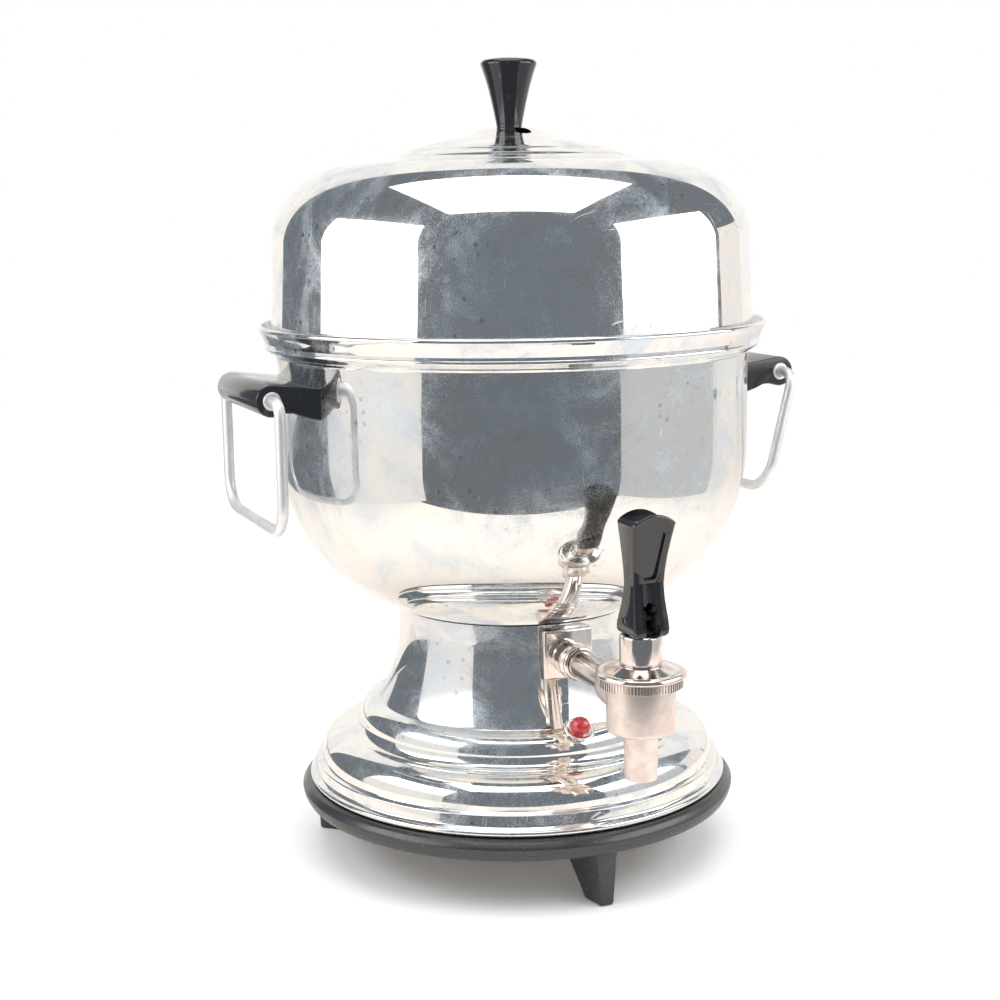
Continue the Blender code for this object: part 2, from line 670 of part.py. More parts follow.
def make_shank():
    plate_top = neck_top_z + 0.1 * MM
    plate_low = 121.5 * MM
    outline = rounded_box(15.5 * MM, (plate_top - plate_low) / 2, 1.5 * MM, 3)
    centre = (0, -72 * MM, (plate_top + plate_low) / 2)
    plate = flat_piece(
        "tap_escutcheon", outline, 12 * MM, nickel_plate, location=centre, rotation=(radians(90), 0, 0)
    )
    solid_neck = [(0.0, 165 * MM)] + neck_outer(GAP, 165 * MM) + [(0.0, 94 * MM)]
    neck_cut = turned("cut_escutcheon", solid_neck, plain_steel, ROUND_STEPS, group=cutters)
    hole = cutter_rod(
        "cut_escutcheon_hole", shank_radius + 0.5 * MM, (0, -60 * MM, shank_z), (0, -90 * MM, shank_z)
    )
    combine(plate, "DIFFERENCE", neck_cut, hole)
    along_y = (radians(90), 0, 0)
    hub = (0, 0, shank_z)
    bore = shank_radius + GAP
    # Paths along the shank: local z is the distance in front of the urn's axis.
    path = [(bore, 94.0 * MM), (9.4 * MM, 94.0 * MM), (10.4 * MM, 92.6 * MM), (9.6 * MM, 90.6 * MM)]
    path += [(10.2 * MM, 89.0 * MM), (10.8 * MM, 86.4 * MM), (10.4 * MM, 80.0 * MM)]
    path += [(9.8 * MM, 78.4 * MM), (bore, 78.4 * MM)]
    turned("coupling_nut", path, nickel_plate, SMALL_STEPS, ring=True, location=hub, rotation=along_y)
    path = [(5.0 * MM, 141.0 * MM), (shank_radius, 141.0 * MM), (shank_radius, 35.6 * MM)]
    path += [(10.8 * MM, 35.6 * MM), (10.8 * MM, 34.0 * MM), (5.0 * MM, 34.0 * MM)]
    turned("tap_shank", path, nickel_plate, SMALL_STEPS, ring=True, location=hub, rotation=along_y)
    path = [(bore, 38.2 * MM), (11.2 * MM, 37.3 * MM), (11.2 * MM, 35.9 * MM), (bore, 35.9 * MM)]
    turned("shank_gasket", path, rubber, SMALL_STEPS, ring=True, location=hub, rotation=along_y)
    hex_nut("shank_nut", 13.0 * MM, bore, (0, -41.8 * MM, shank_z), (0, -47.2 * MM, shank_z), brass_metal)


def make_tap_body():
    axis = (0, tap_y, 0)
    fillet = 2.5 * MM
    path = [(0.0, tap_barrel_top_z), (tap_barrel_radius, tap_barrel_top_z)]
    corner = (tap_barrel_radius - fillet, tap_barrel_bottom_z + fillet)
    path += arc(corner, fillet, fillet, 0, -90, 4)
    path += [(spout_radius + 1.0 * MM, tap_barrel_bottom_z), (spout_radius, 114.8 * MM)]
    path += [(spout_radius - 0.3 * MM, spout_end_z), (0.0, spout_end_z)]
    half_step = radians(360 / 48)
    body = turned("tap_body", path, nickel_plate, 24, location=axis, rotation=(0, 0, half_step))
    round_end = arc((tap_boss_radius - 5 * MM, 134 * MM), 5 * MM, 5 * MM, 0, -90, 4)
    boss = turned(
        "join_boss",
        [(0.0, 153 * MM), (tap_boss_radius, 153 * MM)] + round_end + [(0.0, 129 * MM)],
        nickel_plate,
        SMALL_STEPS,
        group=cutters,
        location=(0, 0, shank_z),
        rotation=(radians(90), 0, 0),
    )
    combine(body, "UNION", boss)
    above = [(0.0, 160 * MM), (bonnet_radius + 0.5 * MM, 160 * MM), (bonnet_radius + 0.5 * MM, tap_barrel_top_z)]
    above += [(0.0, tap_barrel_top_z)]
    bonnet_room = turned("cut_bonnet_room", above, plain_steel, ROUND_STEPS, group=cutters, location=axis)
    chamber = [(0.0, 145 * MM), (15.5 * MM, 145 * MM), (15.5 * MM, 119 * MM), (8.8 * MM, 119 * MM)]
    chamber += [(8.2 * MM, 120.4 * MM), (7.0 * MM, 120.4 * MM), (6.4 * MM, 119.6 * MM), (6.4 * MM, 85 * MM)]
    chamber += [(0.0, 85 * MM)]
    hollow = turned("cut_chamber", chamber, plain_steel, SMALL_STEPS, group=cutters, location=axis)
    socket = cutter_rod(
        "cut_socket", shank_radius + GAP, (0, -120 * MM, shank_z), (0, -141.3 * MM, shank_z), 16
    )
    passage = cutter_rod("cut_passage", 5.0 * MM, (0, -138 * MM, shank_z), (0, -158 * MM, shank_z), 12)
    combine(body, "DIFFERENCE", bonnet_room, hollow, socket, passage)


def make_bonnet():
    axis = (0, tap_y, 0)
    base = tap_barrel_top_z + GAP
    path = [(3.6 * MM, 162 * MM), (9.2 * MM, 162 * MM), (9.2 * MM, 152.8 * MM), (13.4 * MM, 152.8 * MM)]
    path += [(20.6 * MM, 149.6 * MM), (22.0 * MM, 150.0 * MM), (23.6 * MM, 149.4 * MM), (24.2 * MM, 147.8 * MM)]
    path += [(bonnet_radius, 146.6 * MM), (bonnet_radius, base), (15.1 * MM, base), (15.1 * MM, 137 * MM)]
    path += [(11.0 * MM, 137 * MM), (11.0 * MM, 147 * MM), (3.6 * MM, 147 * MM)]
    bonnet = turned("tap_bonnet", path, nickel_plate, 28, ring=True, location=axis)
    low = (20.5 * MM, tap_y - 3 * MM, base)
    high = (27.0 * MM, tap_y + 3 * MM, 146.2 * MM)
    combine(bonnet, "UNION", block("join_lug", low, high, nickel_plate, group=cutters))
    path = [(9.6 * MM, sleeve_top_z), (10.9 * MM, sleeve_top_z), (sleeve_radius, sleeve_top_z - 0.7 * MM)]
    path += [(sleeve_radius, 153.1 * MM), (9.6 * MM, 153.1 * MM)]
    turned("tap_sleeve", path, nickel_plate, SMALL_STEPS, ring=True, location=axis)


def make_valve():
    axis = (0, tap_y, 0)
    path = [(0.0, 181.2 * MM), (2.2 * MM, 181.0 * MM), (3.0 * MM, 180.0 * MM), (3.0 * MM, 127.6 * MM)]
    path += [(7.6 * MM, 127.6 * MM), (7.6 * MM, 125.8 * MM), (2.0 * MM, 125.8 * MM), (2.0 * MM, 122.8 * MM)]
    path += [(0.0, 122.8 * MM)]
    stem = turned("tap_stem", path, nickel_plate, 16, location=axis)
    x = 10 * MM
    hole = cutter_rod("cut_stem_pin", pin_radius + 0.2 * MM, (-x, tap_y, pin_z), (x, tap_y, pin_z), 16)
    combine(stem, "DIFFERENCE", hole)
    path = [(0.0, 122.5 * MM), (2.3 * MM, 122.5 * MM), (2.3 * MM, 125.5 * MM), (9.0 * MM, 125.5 * MM)]
    path += [(9.4 * MM, 120.7 * MM), (0.0, 120.7 * MM)]
    turned("seat_cup", path, rubber, 16, location=axis)
    turns = 5
    per_turn = 10
    low = 128.8 * MM
    high = 145.8 * MM
    count = turns * per_turn
    coil = []
    for i in range(count + 1):
        a = 2 * pi * i / per_turn
        coil.append((6.6 * MM * cos(a), tap_y + 6.6 * MM * sin(a), low + (high - low) * i / count))
    wire("valve_spring", coil, 0.8 * MM, plain_steel, resolution=1)


def lever_front():
    """Front outline, in x and z: round crown, drawn-in waist, straight foot."""
    side = [(9.6, 170.1), (10.6, 172.0), (10.4, 178.0), (9.4, 188.0), (9.1, 197.5), (9.7, 208.0), (11.0, 220.0)]
    side += [(12.7, 230.0)]
    right = [(x * MM, z * MM) for x, z in side]
    crown = lever_top_z
    drop = crown - right[-1][1]
    half = right[-1][0]
    radius = (half * half + drop * drop) / (2 * drop)
    spread = atan2(half, radius - drop) * 180 / pi
    top = arc((0.0, crown - radius), radius, radius, 90 - spread, 90 + spread, 7)[1:-1]
    left = [(-x, z) for x, z in right[::-1]]
    return [(x, z - pin_z) for x, z in right + top + left]


def lever_side():
    """Side outline, in y and z."""
    front = [(-180.4, 170.1), (-181.4, 173.0), (-180.6, 180.0), (-178.0, 190.0), (-177.0, 198.0)]
    front += [(-178.2, 210.0), (-181.0, 222.0), (-184.0, 231.0), (-184.0, 240.0)]
    back = [(-163.0, 240.0), (-163.0, 231.0), (-163.6, 215.0), (-164.3, 198.0), (-162.0, 186.0)]
    back += [(-158.0, 174.0), (-157.6, 170.1)]
    return [(y * MM - tap_y, z * MM - pin_z) for y, z in front + back]


def make_lever():
    pin = (0, tap_y, pin_z)
    facing = (radians(90), 0, 0)
    outline = lever_front()
    lever = flat_piece("tap_lever", outline, 50 * MM, black_phenolic, location=pin, rotation=facing)
    outline = lever_side()
    sideways = (radians(90), 0, radians(90))
    side = flat_piece("shape_lever_side", outline, 50 * MM, black_phenolic, cutters, location=pin, rotation=sideways)
    combine(lever, "INTERSECT", side)
    notch = cutter_block("cut_fork", (-3.4 * MM, -190 * MM, 165 * MM), (3.4 * MM, -160.6 * MM, 184.5 * MM))
    x = 20 * MM
    hole = cutter_rod("cut_lever_pin", pin_radius + GAP, (-x, tap_y, pin_z), (x, tap_y, pin_z), 12)
    low = 199 * MM - pin_z
    high = 225 * MM - pin_z
    outline = [(-4.0 * MM, low), (4.0 * MM, low), (6.8 * MM, high), (-6.8 * MM, high)]
    front = (0, -183.6 * MM, pin_z)
    panel = flat_piece("cut_panel", outline, 12 * MM, black_phenolic, cutters, location=front, rotation=facing)
    combine(lever, "DIFFERENCE", notch, hole, panel)
    rod("lever_pin", pin_radius, (-9.8 * MM, tap_y, pin_z), (9.8 * MM, tap_y, pin_z), plain_steel, 12)


# Percolator insert


def make_insert():
    path = [(4.4 * MM, 136 * MM), (5.2 * MM, 136 * MM), (5.8 * MM, 128 * MM), (12 * MM, 122 * MM)]
    path += [(29 * MM, 113.6 * MM), (31 * MM, 113.2 * MM), (31 * MM, 111.3 * MM), (30 * MM, 111.3 * MM)]
    path += [(28.6 * MM, 112.4 * MM), (11.6 * MM, 120.9 * MM), (4.4 * MM, 127 * MM)]
    turned("pump_base", path, spun_aluminium, 24, ring=True)
    path = [(3.2 * MM, 303 * MM), (4.0 * MM, 303 * MM), (4.0 * MM, 221.6 * MM), (7.0 * MM, 221.6 * MM)]
    path += [(7.0 * MM, 219.8 * MM), (4.0 * MM, 219.8 * MM), (4.0 * MM, 117.5 * MM), (3.2 * MM, 117.5 * MM)]
    turned("pump_tube", path, spun_aluminium, 16, ring=True)
    wall = 0.8 * MM
    radius = basket_radius
    outer = [(radius + 2.0 * MM, basket_top_z), (radius, basket_top_z - 1.2 * MM), (radius, basket_floor_z + 6 * MM)]
    outer += [(radius - 5 * MM, basket_floor_z), (4.4 * MM, basket_floor_z)]
    inner = [(4.4 * MM, basket_floor_z + wall), (radius - 5.3 * MM, basket_floor_z + wall)]
    inner += [(radius - wall, basket_floor_z + 6.2 * MM), (radius - wall, basket_top_z)]
    turned("basket", inner + outer, spun_aluminium, 32, ring=True)
    top = basket_top_z + GAP
    path = [(4.4 * MM, top + 4.0 * MM), (40 * MM, top + 3.0 * MM), (52 * MM, top + wall), (60 * MM, top + wall)]
    path += [(60 * MM, top), (51.8 * MM, top), (39.8 * MM, top + 2.2 * MM), (4.4 * MM, top + 3.2 * MM)]
    turned("basket_cover", path, spun_aluminium, 32, ring=True)


def centre_on_floor():
    """Moves everything so that the middle of the overall length, tap to rear rim, is over the origin."""
    front = bonnet_radius - tap_y
    root = bpy.data.objects.new("urn_root", None)
    root.location = (0, (front - rim_radius) / 2, 0)
    parts.objects.link(root)
    for obj in list(parts.objects) + list(cutters.objects):
        if obj != root:
            obj.parent = root


def make_urn():
    make_lid()
    make_knob()
    make_vessel()
    make_pedestal()
    make_base()
    make_feet()
    make_heater()
    make_leads()
    make_lamp()
    make_inlet()
    for side in ("left", "right"):
        make_handle(side)
        make_bail(side)
    make_shank()
    make_tap_body()
    make_bonnet()
    make_valve()
    make_lever()
    make_insert()
    centre_on_floor()


make_urn()
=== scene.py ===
import json
import math

import bmesh
import bpy
from mathutils import Matrix, Vector


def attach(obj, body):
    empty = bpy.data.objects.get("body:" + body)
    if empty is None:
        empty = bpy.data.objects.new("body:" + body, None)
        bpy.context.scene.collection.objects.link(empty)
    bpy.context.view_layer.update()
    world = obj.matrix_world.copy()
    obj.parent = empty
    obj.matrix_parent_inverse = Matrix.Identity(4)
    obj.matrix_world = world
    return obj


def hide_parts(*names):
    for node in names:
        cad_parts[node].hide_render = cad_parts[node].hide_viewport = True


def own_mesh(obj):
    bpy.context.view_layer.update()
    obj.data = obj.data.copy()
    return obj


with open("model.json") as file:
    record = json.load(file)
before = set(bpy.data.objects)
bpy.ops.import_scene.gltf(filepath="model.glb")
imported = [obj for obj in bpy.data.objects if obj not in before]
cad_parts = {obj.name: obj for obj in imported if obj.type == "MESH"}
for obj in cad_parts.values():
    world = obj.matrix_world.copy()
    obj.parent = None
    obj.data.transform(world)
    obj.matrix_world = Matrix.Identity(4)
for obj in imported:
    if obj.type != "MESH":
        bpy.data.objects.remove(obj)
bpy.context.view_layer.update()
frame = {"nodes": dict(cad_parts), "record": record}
print("frame loaded:", len(frame["nodes"]), "CAD nodes")

axisShift = 19.9  # the urn's own axis stands this far behind the row origin, mm


# small helpers


def toLinear(hexColour):
    parts = [int(hexColour[i : i + 2], 16) / 255 for i in (1, 3, 5)]
    linear = [c / 12.92 if c <= 0.04045 else ((c + 0.055) / 1.055) ** 2.4 for c in parts]
    return (*linear, 1.0)


def addNode(tree, kind, inputs=None, **settings):
    node = tree.nodes.new(kind)
    for key, value in settings.items():
        setattr(node, key, value)
    for key, value in (inputs or {}).items():
        if isinstance(value, bpy.types.NodeSocket):
            tree.links.new(value, node.inputs[key])
        else:
            node.inputs[key].default_value = value
    return node


def arcOf(centre, across, along, start, end, count):
    angles = [math.radians(start + (end - start) * i / (count - 1)) for i in range(count)]
    return [(centre[0] + across * math.cos(a), centre[1] + along * math.sin(a)) for a in angles]


def softened(points, count=5):
    # a corner given as (r, z, size) is drawn as a small curve that starts and ends size away from it
    out = []
    for i, point in enumerate(points):
        if len(point) == 2:
            out.append(point)
            continue
        corner = Vector(point[:2])
        before = Vector(points[i - 1][:2])
        after = Vector(points[(i + 1) % len(points)][:2])
        a = corner + (before - corner).normalized() * min(point[2], (before - corner).length * 0.49)
        b = corner + (after - corner).normalized() * min(point[2], (after - corner).length * 0.49)
        for k in range(count):
            t = k / (count - 1)
            out.append(tuple(a.lerp(corner, t).lerp(corner.lerp(b, t), t)))
    return out


def spinOutline(outline, steps=160, closed=False):
    bm = bmesh.new()
    verts = [bm.verts.new((max(r, 0.0), 0, z)) for r, z in outline]
    edges = [bm.edges.new(pair) for pair in zip(verts, verts[1:])]
    if closed:
        edges.append(bm.edges.new((verts[-1], verts[0])))
    bmesh.ops.spin(
        bm, geom=verts + edges, cent=(0, 0, 0), axis=(0, 0, 1), angle=math.tau, steps=steps, use_merge=True
    )
    bmesh.ops.remove_doubles(bm, verts=bm.verts, dist=0.002)
    bmesh.ops.recalc_face_normals(bm, faces=bm.faces)
    return bm


def placed(bm, matrix):
    bmesh.ops.transform(bm, matrix=matrix, verts=bm.verts)
    return bm


def alongY(y, z, x=0.0):
    # stands a spun shape on the line along Y: its local +z points to the front
    return Matrix.Translation((x, y, z)) @ Matrix.Rotation(math.radians(90), 4, "X")


def joined(*shapes):
    whole = shapes[0]
    for shape in shapes[1:]:
        mesh = bpy.data.meshes.new("part")
        shape.to_mesh(mesh)
        shape.free()
        whole.from_mesh(mesh)
        bpy.data.meshes.remove(mesh)
    return whole


def toObject(bm, name, material=None, sharp=32):
    bmesh.ops.transform(bm, matrix=Matrix.Translation((0, axisShift, 0)), verts=bm.verts)
    bmesh.ops.scale(bm, vec=(0.001, 0.001, 0.001), verts=bm.verts)
    mesh = bpy.data.meshes.new(name)
    bm.to_mesh(mesh)
    bm.free()
    mesh.shade_smooth()
    mesh.set_sharp_from_angle(angle=math.radians(sharp))
    obj = bpy.data.objects.new(name, mesh)
    bpy.context.scene.collection.objects.link(obj)
    if material:
        mesh.materials.append(material)
    return obj


def cutBy(obj, cutter, operation="DIFFERENCE", sharp=32):
    step = obj.modifiers.new("cut", "BOOLEAN")
    step.operation = operation
    step.solver = "EXACT"
    step.object = cutter
    bpy.context.view_layer.update()
    graph = bpy.context.evaluated_depsgraph_get()
    mesh = bpy.data.meshes.new_from_object(obj.evaluated_get(graph))
    obj.modifiers.clear()
    old = obj.data
    obj.data = mesh
    bpy.data.meshes.remove(old)
    bpy.data.objects.remove(cutter)
    obj.data.shade_smooth()
    obj.data.set_sharp_from_angle(angle=math.radians(sharp))
    return obj


def bevelEdges(bm, edges, width, segments, clamp=False):
    bmesh.ops.bevel(
        bm,
        geom=edges,
        offset=width,
        offset_type="OFFSET",
        segments=segments,
        profile=0.5,
        affect="EDGES",
        material=-1,
        clamp_overlap=clamp,
    )
    return bm


def bevelAll(bm, width, segments=3, above=25):
    edges = [e for e in bm.edges if len(e.link_faces) == 2 and e.calc_face_angle(0) > math.radians(above)]
    return bevelEdges(bm, edges, width, segments, clamp=True)


def edgesAlong(bm, axis, near=0.9):
    # the edges that run close to one of the axes, 0 for x, 1 for y and 2 for z
    return [e for e in bm.edges if abs((e.verts[0].co - e.verts[1].co).normalized()[axis]) > near]


def boxOf(low, high, width=0.0, segments=3):
    bm = bmesh.new()
    bmesh.ops.create_cube(bm, size=1.0)
    low, high = Vector(low), Vector(high)
    bmesh.ops.scale(bm, vec=high - low, verts=bm.verts)
    bmesh.ops.translate(bm, vec=(low + high) / 2, verts=bm.verts)
    return bevelAll(bm, width, segments) if width else bm


def rodOf(radius, start, end, steps=48):
    start, end = Vector(start), Vector(end)
    bm = bmesh.new()
    bmesh.ops.create_cone(
        bm, cap_ends=True, segments=steps, radius1=radius, radius2=radius, depth=(end - start).length
    )
    turn = (end - start).to_track_quat("Z", "Y").to_matrix().to_4x4()
    return placed(bm, Matrix.Translation((start + end) / 2) @ turn)


def stands(obj, body, *nodes, slot=None):
    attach(obj, body)
    if nodes:
        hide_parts(*nodes)
    return obj


# finishes


def newMaterial(name):
    made = bpy.data.materials.new(name)
    made.use_nodes = True
    tree = made.node_tree
    shader = tree.nodes["Principled BSDF"]
    where = addNode(tree, "ShaderNodeTexCoord").outputs["Object"]
    return made, tree, shader, where


steelLook = {
    "clean": "#F2EFEA",
    "tarnish": "#DCE3E9",
    "dropColour": "#6A727A",
    "stain": "#DCC9B2",
    "sharp": 0.025,  # roughness of the bare polish
    "hazy": 0.50,  # roughness of the fine wiping marks
    "patch": 38.0,  # mm, a wiped patch
    "grain": 0.3,  # mm, the wiping marks, which blend to a veil
    "stainSize": 16.0,  # mm
    "dropSpacing": 7.5,  # mm between dried drops
    "dropCover": 0.3,
}


def polishedSteel():
    # mirror-polished stainless sheet: sharp reflections under a broken haze, with dried drops and hairlines
    look = steelLook
    made, tree, shader, where = newMaterial("mirrorPolishedStainless")
    wiped = addNode(
        tree,
        "ShaderNodeTexNoise",
        {"Vector": where, "Scale": 1000 / look["patch"], "Detail": 8, "Roughness": 0.66, "Distortion": 0.7},
    )
    density = addNode(
        tree,
        "ShaderNodeMapRange",
        {"Value": wiped.outputs["Fac"], "From Min": 0.38, "From Max": 0.64, "To Min": 0.33, "To Max": 0.54},
    )
    grain = addNode(
        tree,
        "ShaderNodeTexNoise",
        {"Vector": where, "Scale": 1000 / look["grain"], "Detail": 3, "Roughness": 0.6},
    )
    over = addNode(
        tree, "ShaderNodeMath", {0: density.outputs["Result"], 1: grain.outputs["Fac"]}, operation="SUBTRACT"
    )
    haze = addNode(
        tree, "ShaderNodeMapRange", {"Value": over.outputs[0], "From Min": -0.03, "From Max": 0.07}
    )
    # dried drops lie in loose groups and stay clear of the haze
    shaken = addNode(tree, "ShaderNodeTexNoise", {"Vector": where, "Scale": 420, "Detail": 2})
    moved = addNode(
        tree,
        "ShaderNodeVectorMath",
        {0: shaken.outputs["Color"], 1: (0.0025, 0.0025, 0.0025), 2: where},
        operation="MULTIPLY_ADD",
    )
    cells = addNode(
        tree,
        "ShaderNodeTexVoronoi",
        {"Vector": moved.outputs[0], "Scale": 1000 / look["dropSpacing"], "Randomness": 1.0},
    )
    dots = addNode(
        tree, "ShaderNodeMapRange", {"Value": cells.outputs["Distance"], "From Min": 0.21, "From Max": 0.13}
    )
    groups = addNode(tree, "ShaderNodeTexNoise", {"Vector": where, "Scale": 22, "Detail": 2})
    near = addNode(
        tree, "ShaderNodeMapRange", {"Value": groups.outputs["Fac"], "From Min": 0.53, "From Max": 0.60}
    )
    drops = addNode(
        tree, "ShaderNodeMath", {0: dots.outputs["Result"], 1: near.outputs["Result"]}, operation="MULTIPLY"
    )
    # hairlines run round the body and across it, coarser than real so that they show
    around = addNode(tree, "ShaderNodeMapping", {"Vector": where, "Scale": (1, 1, 300)})
    lines = addNode(
        tree, "ShaderNodeTexNoise", {"Vector": around.outputs[0], "Scale": 9, "Detail": 3, "Roughness": 0.7}
    )
    slant = addNode(
        tree, "ShaderNodeMapping", {"Vector": where, "Scale": (3, 260, 4), "Rotation": (0.7, 0.5, 0.9)}
    )
    across = addNode(
        tree, "ShaderNodeTexNoise", {"Vector": slant.outputs[0], "Scale": 10, "Detail": 2, "Roughness": 0.6}
    )
    roundLines = addNode(
        tree, "ShaderNodeMapRange", {"Value": lines.outputs["Fac"], "From Min": 0.68, "From Max": 0.76}
    )
    crossLines = addNode(
        tree, "ShaderNodeMapRange", {"Value": across.outputs["Fac"], "From Min": 0.70, "From Max": 0.75}
    )
    scratches = addNode(
        tree,
        "ShaderNodeMath",
        {0: roundLines.outputs["Result"], 1: crossLines.outputs["Result"]},
        operation="MAXIMUM",
    )
    kept = addNode(tree, "ShaderNodeMath", {0: 1.0, 1: drops.outputs[0]}, operation="SUBTRACT")
    clouded = addNode(
        tree, "ShaderNodeMath", {0: haze.outputs["Result"], 1: kept.outputs[0]}, operation="MULTIPLY"
    )
    dull = addNode(
        tree, "ShaderNodeMath", {0: scratches.outputs[0], 1: clouded.outputs[0]}, operation="MAXIMUM"
    )
    rough = addNode(
        tree,
        "ShaderNodeMapRange",
        {"Value": dull.outputs[0], "To Min": look["sharp"], "To Max": look["hazy"]},
    )
    film = addNode(
        tree, "ShaderNodeMapRange", {"Value": wiped.outputs["Fac"], "From Min": 0.42, "From Max": 0.66}
    )
    tint = addNode(
        tree,
        "ShaderNodeMix",
        {"Factor": film.outputs["Result"], "A": toLinear(look["clean"]), "B": toLinear(look["tarnish"])},
        data_type="RGBA",
    )
    stained = addNode(
        tree,
        "ShaderNodeTexNoise",
        {
            "Vector": where,
            "Scale": 1000 / look["stainSize"],
            "Detail": 6,
            "Roughness": 0.7,
            "Distortion": 1.2,
        },
    )
    stain = addNode(
        tree,
        "ShaderNodeMapRange",
        {"Value": stained.outputs["Fac"], "From Min": 0.56, "From Max": 0.76, "To Max": 0.6},
    )
    stainTint = addNode(
        tree,
        "ShaderNodeMix",
        {"Factor": stain.outputs["Result"], "A": tint.outputs["Result"], "B": toLinear(look["stain"])},
        data_type="RGBA",
    )
    faintDrops = addNode(
        tree, "ShaderNodeMath", {0: drops.outputs[0], 1: look["dropCover"]}, operation="MULTIPLY"
    )
    dropColour = toLinear(look["dropColour"])
    dropTint = addNode(
        tree,
        "ShaderNodeMix",
        {"Factor": faintDrops.outputs[0], "A": stainTint.outputs["Result"], "B": dropColour},
        data_type="RGBA",
    )
    wave = addNode(tree, "ShaderNodeTexNoise", {"Vector": where, "Scale": 16, "Detail": 2})
    relief = addNode(
        tree,
        "ShaderNodeMath",
        {0: scratches.outputs[0], 1: -0.02, 2: wave.outputs["Fac"]},
        operation="MULTIPLY_ADD",
    )
    bump = addNode(
        tree, "ShaderNodeBump", {"Height": relief.outputs[0], "Strength": 0.12, "Distance": 0.001}
    )
    tree.links.new(dropTint.outputs["Result"], shader.inputs["Base Color"])
    tree.links.new(rough.outputs["Result"], shader.inputs["Roughness"])
    tree.links.new(bump.outputs["Normal"], shader.inputs["Normal"])
    shader.inputs["Metallic"].default_value = 1.0
    return made


metalLooks = {
    # clean and worn colour, roughness clean and worn, size of a worn patch and of the grain in mm
    "wornNickelPlate": ("#F2E7E0", "#E4D4CA", 0.34, 0.46, 7.0, 0.7),
    "brightNickelPlate": ("#F1E8E2", "#DCCFC6", 0.07, 0.20, 9.0, 0.7),
    "brightDrawnWire": ("#FAFBFB", "#ECEDEF", 0.50, 0.62, 14.0, 0.8),
    "zincedSteel": ("#C9C9C8", "#A7A6A2", 0.28, 0.43, 8.0, 0.8),
    "spunAluminium": ("#D5D6D8", "#B4B6B8", 0.27, 0.43, 20.0, 0.8),
    "machinedBrass": ("#D8B36A", "#A98548", 0.24, 0.40, 6.0, 0.8),
}


def platedMetal(name):
    # plated, spun or drawn metal: an even sheen that dulls in patches, with a fine grain
    clean, worn, smooth, dull, patchSize, grainSize = metalLooks[name]
    made, tree, shader, where = newMaterial(name)
    wear = addNode(
        tree,
        "ShaderNodeTexNoise",
        {"Vector": where, "Scale": 1000 / patchSize, "Detail": 7, "Roughness": 0.65, "Distortion": 0.6},
    )
    patches = addNode(
        tree, "ShaderNodeMapRange", {"Value": wear.outputs["Fac"], "From Min": 0.38, "From Max": 0.68}
    )
    tint = addNode(
        tree,
        "ShaderNodeMix",
        {"Factor": patches.outputs["Result"], "A": toLinear(clean), "B": toLinear(worn)},
        data_type="RGBA",
    )
    rough = addNode(
        tree, "ShaderNodeMapRange", {"Value": patches.outputs["Result"], "To Min": smooth, "To Max": dull}
    )
    grain = addNode(
        tree,
        "ShaderNodeTexNoise",
        {"Vector": where, "Scale": 1000 / grainSize, "Detail": 3, "Roughness": 0.6},
    )
    bump = addNode(
        tree, "ShaderNodeBump", {"Height": grain.outputs["Fac"], "Strength": 0.10, "Distance": 0.0001}
    )
    tree.links.new(tint.outputs["Result"], shader.inputs["Base Color"])
    tree.links.new(rough.outputs["Result"], shader.inputs["Roughness"])
    tree.links.new(bump.outputs["Normal"], shader.inputs["Normal"])
    shader.inputs["Metallic"].default_value = 1.0
    return made


mouldedLooks = {
    # clean and dusty colour, roughness clean and rubbed, mm between specks, how much a speck covers; the
    # clean black of both phenolics is lightened as a painted sheen
    # painted sheen: the clean gloss and satin blacks are set lighter than the bare moulding, standing in for
    # softbox reflections
    "glossBlackPhenolic": ("#1C1D20", "#8A8A88", 0.06, 0.18, 3.0, 0.35),
    "satinBlackPhenolic": ("#2C2D30", "#A2A2A0", 0.24, 0.38, 3.5, 0.5),
    "blackRubber": ("#141414", "#55534F", 0.62, 0.78, 5.0, 0.4),
    "wovenLeadSleeve": ("#B8AE97", "#7D725C", 0.75, 0.90, 0.9, 0.8),
}


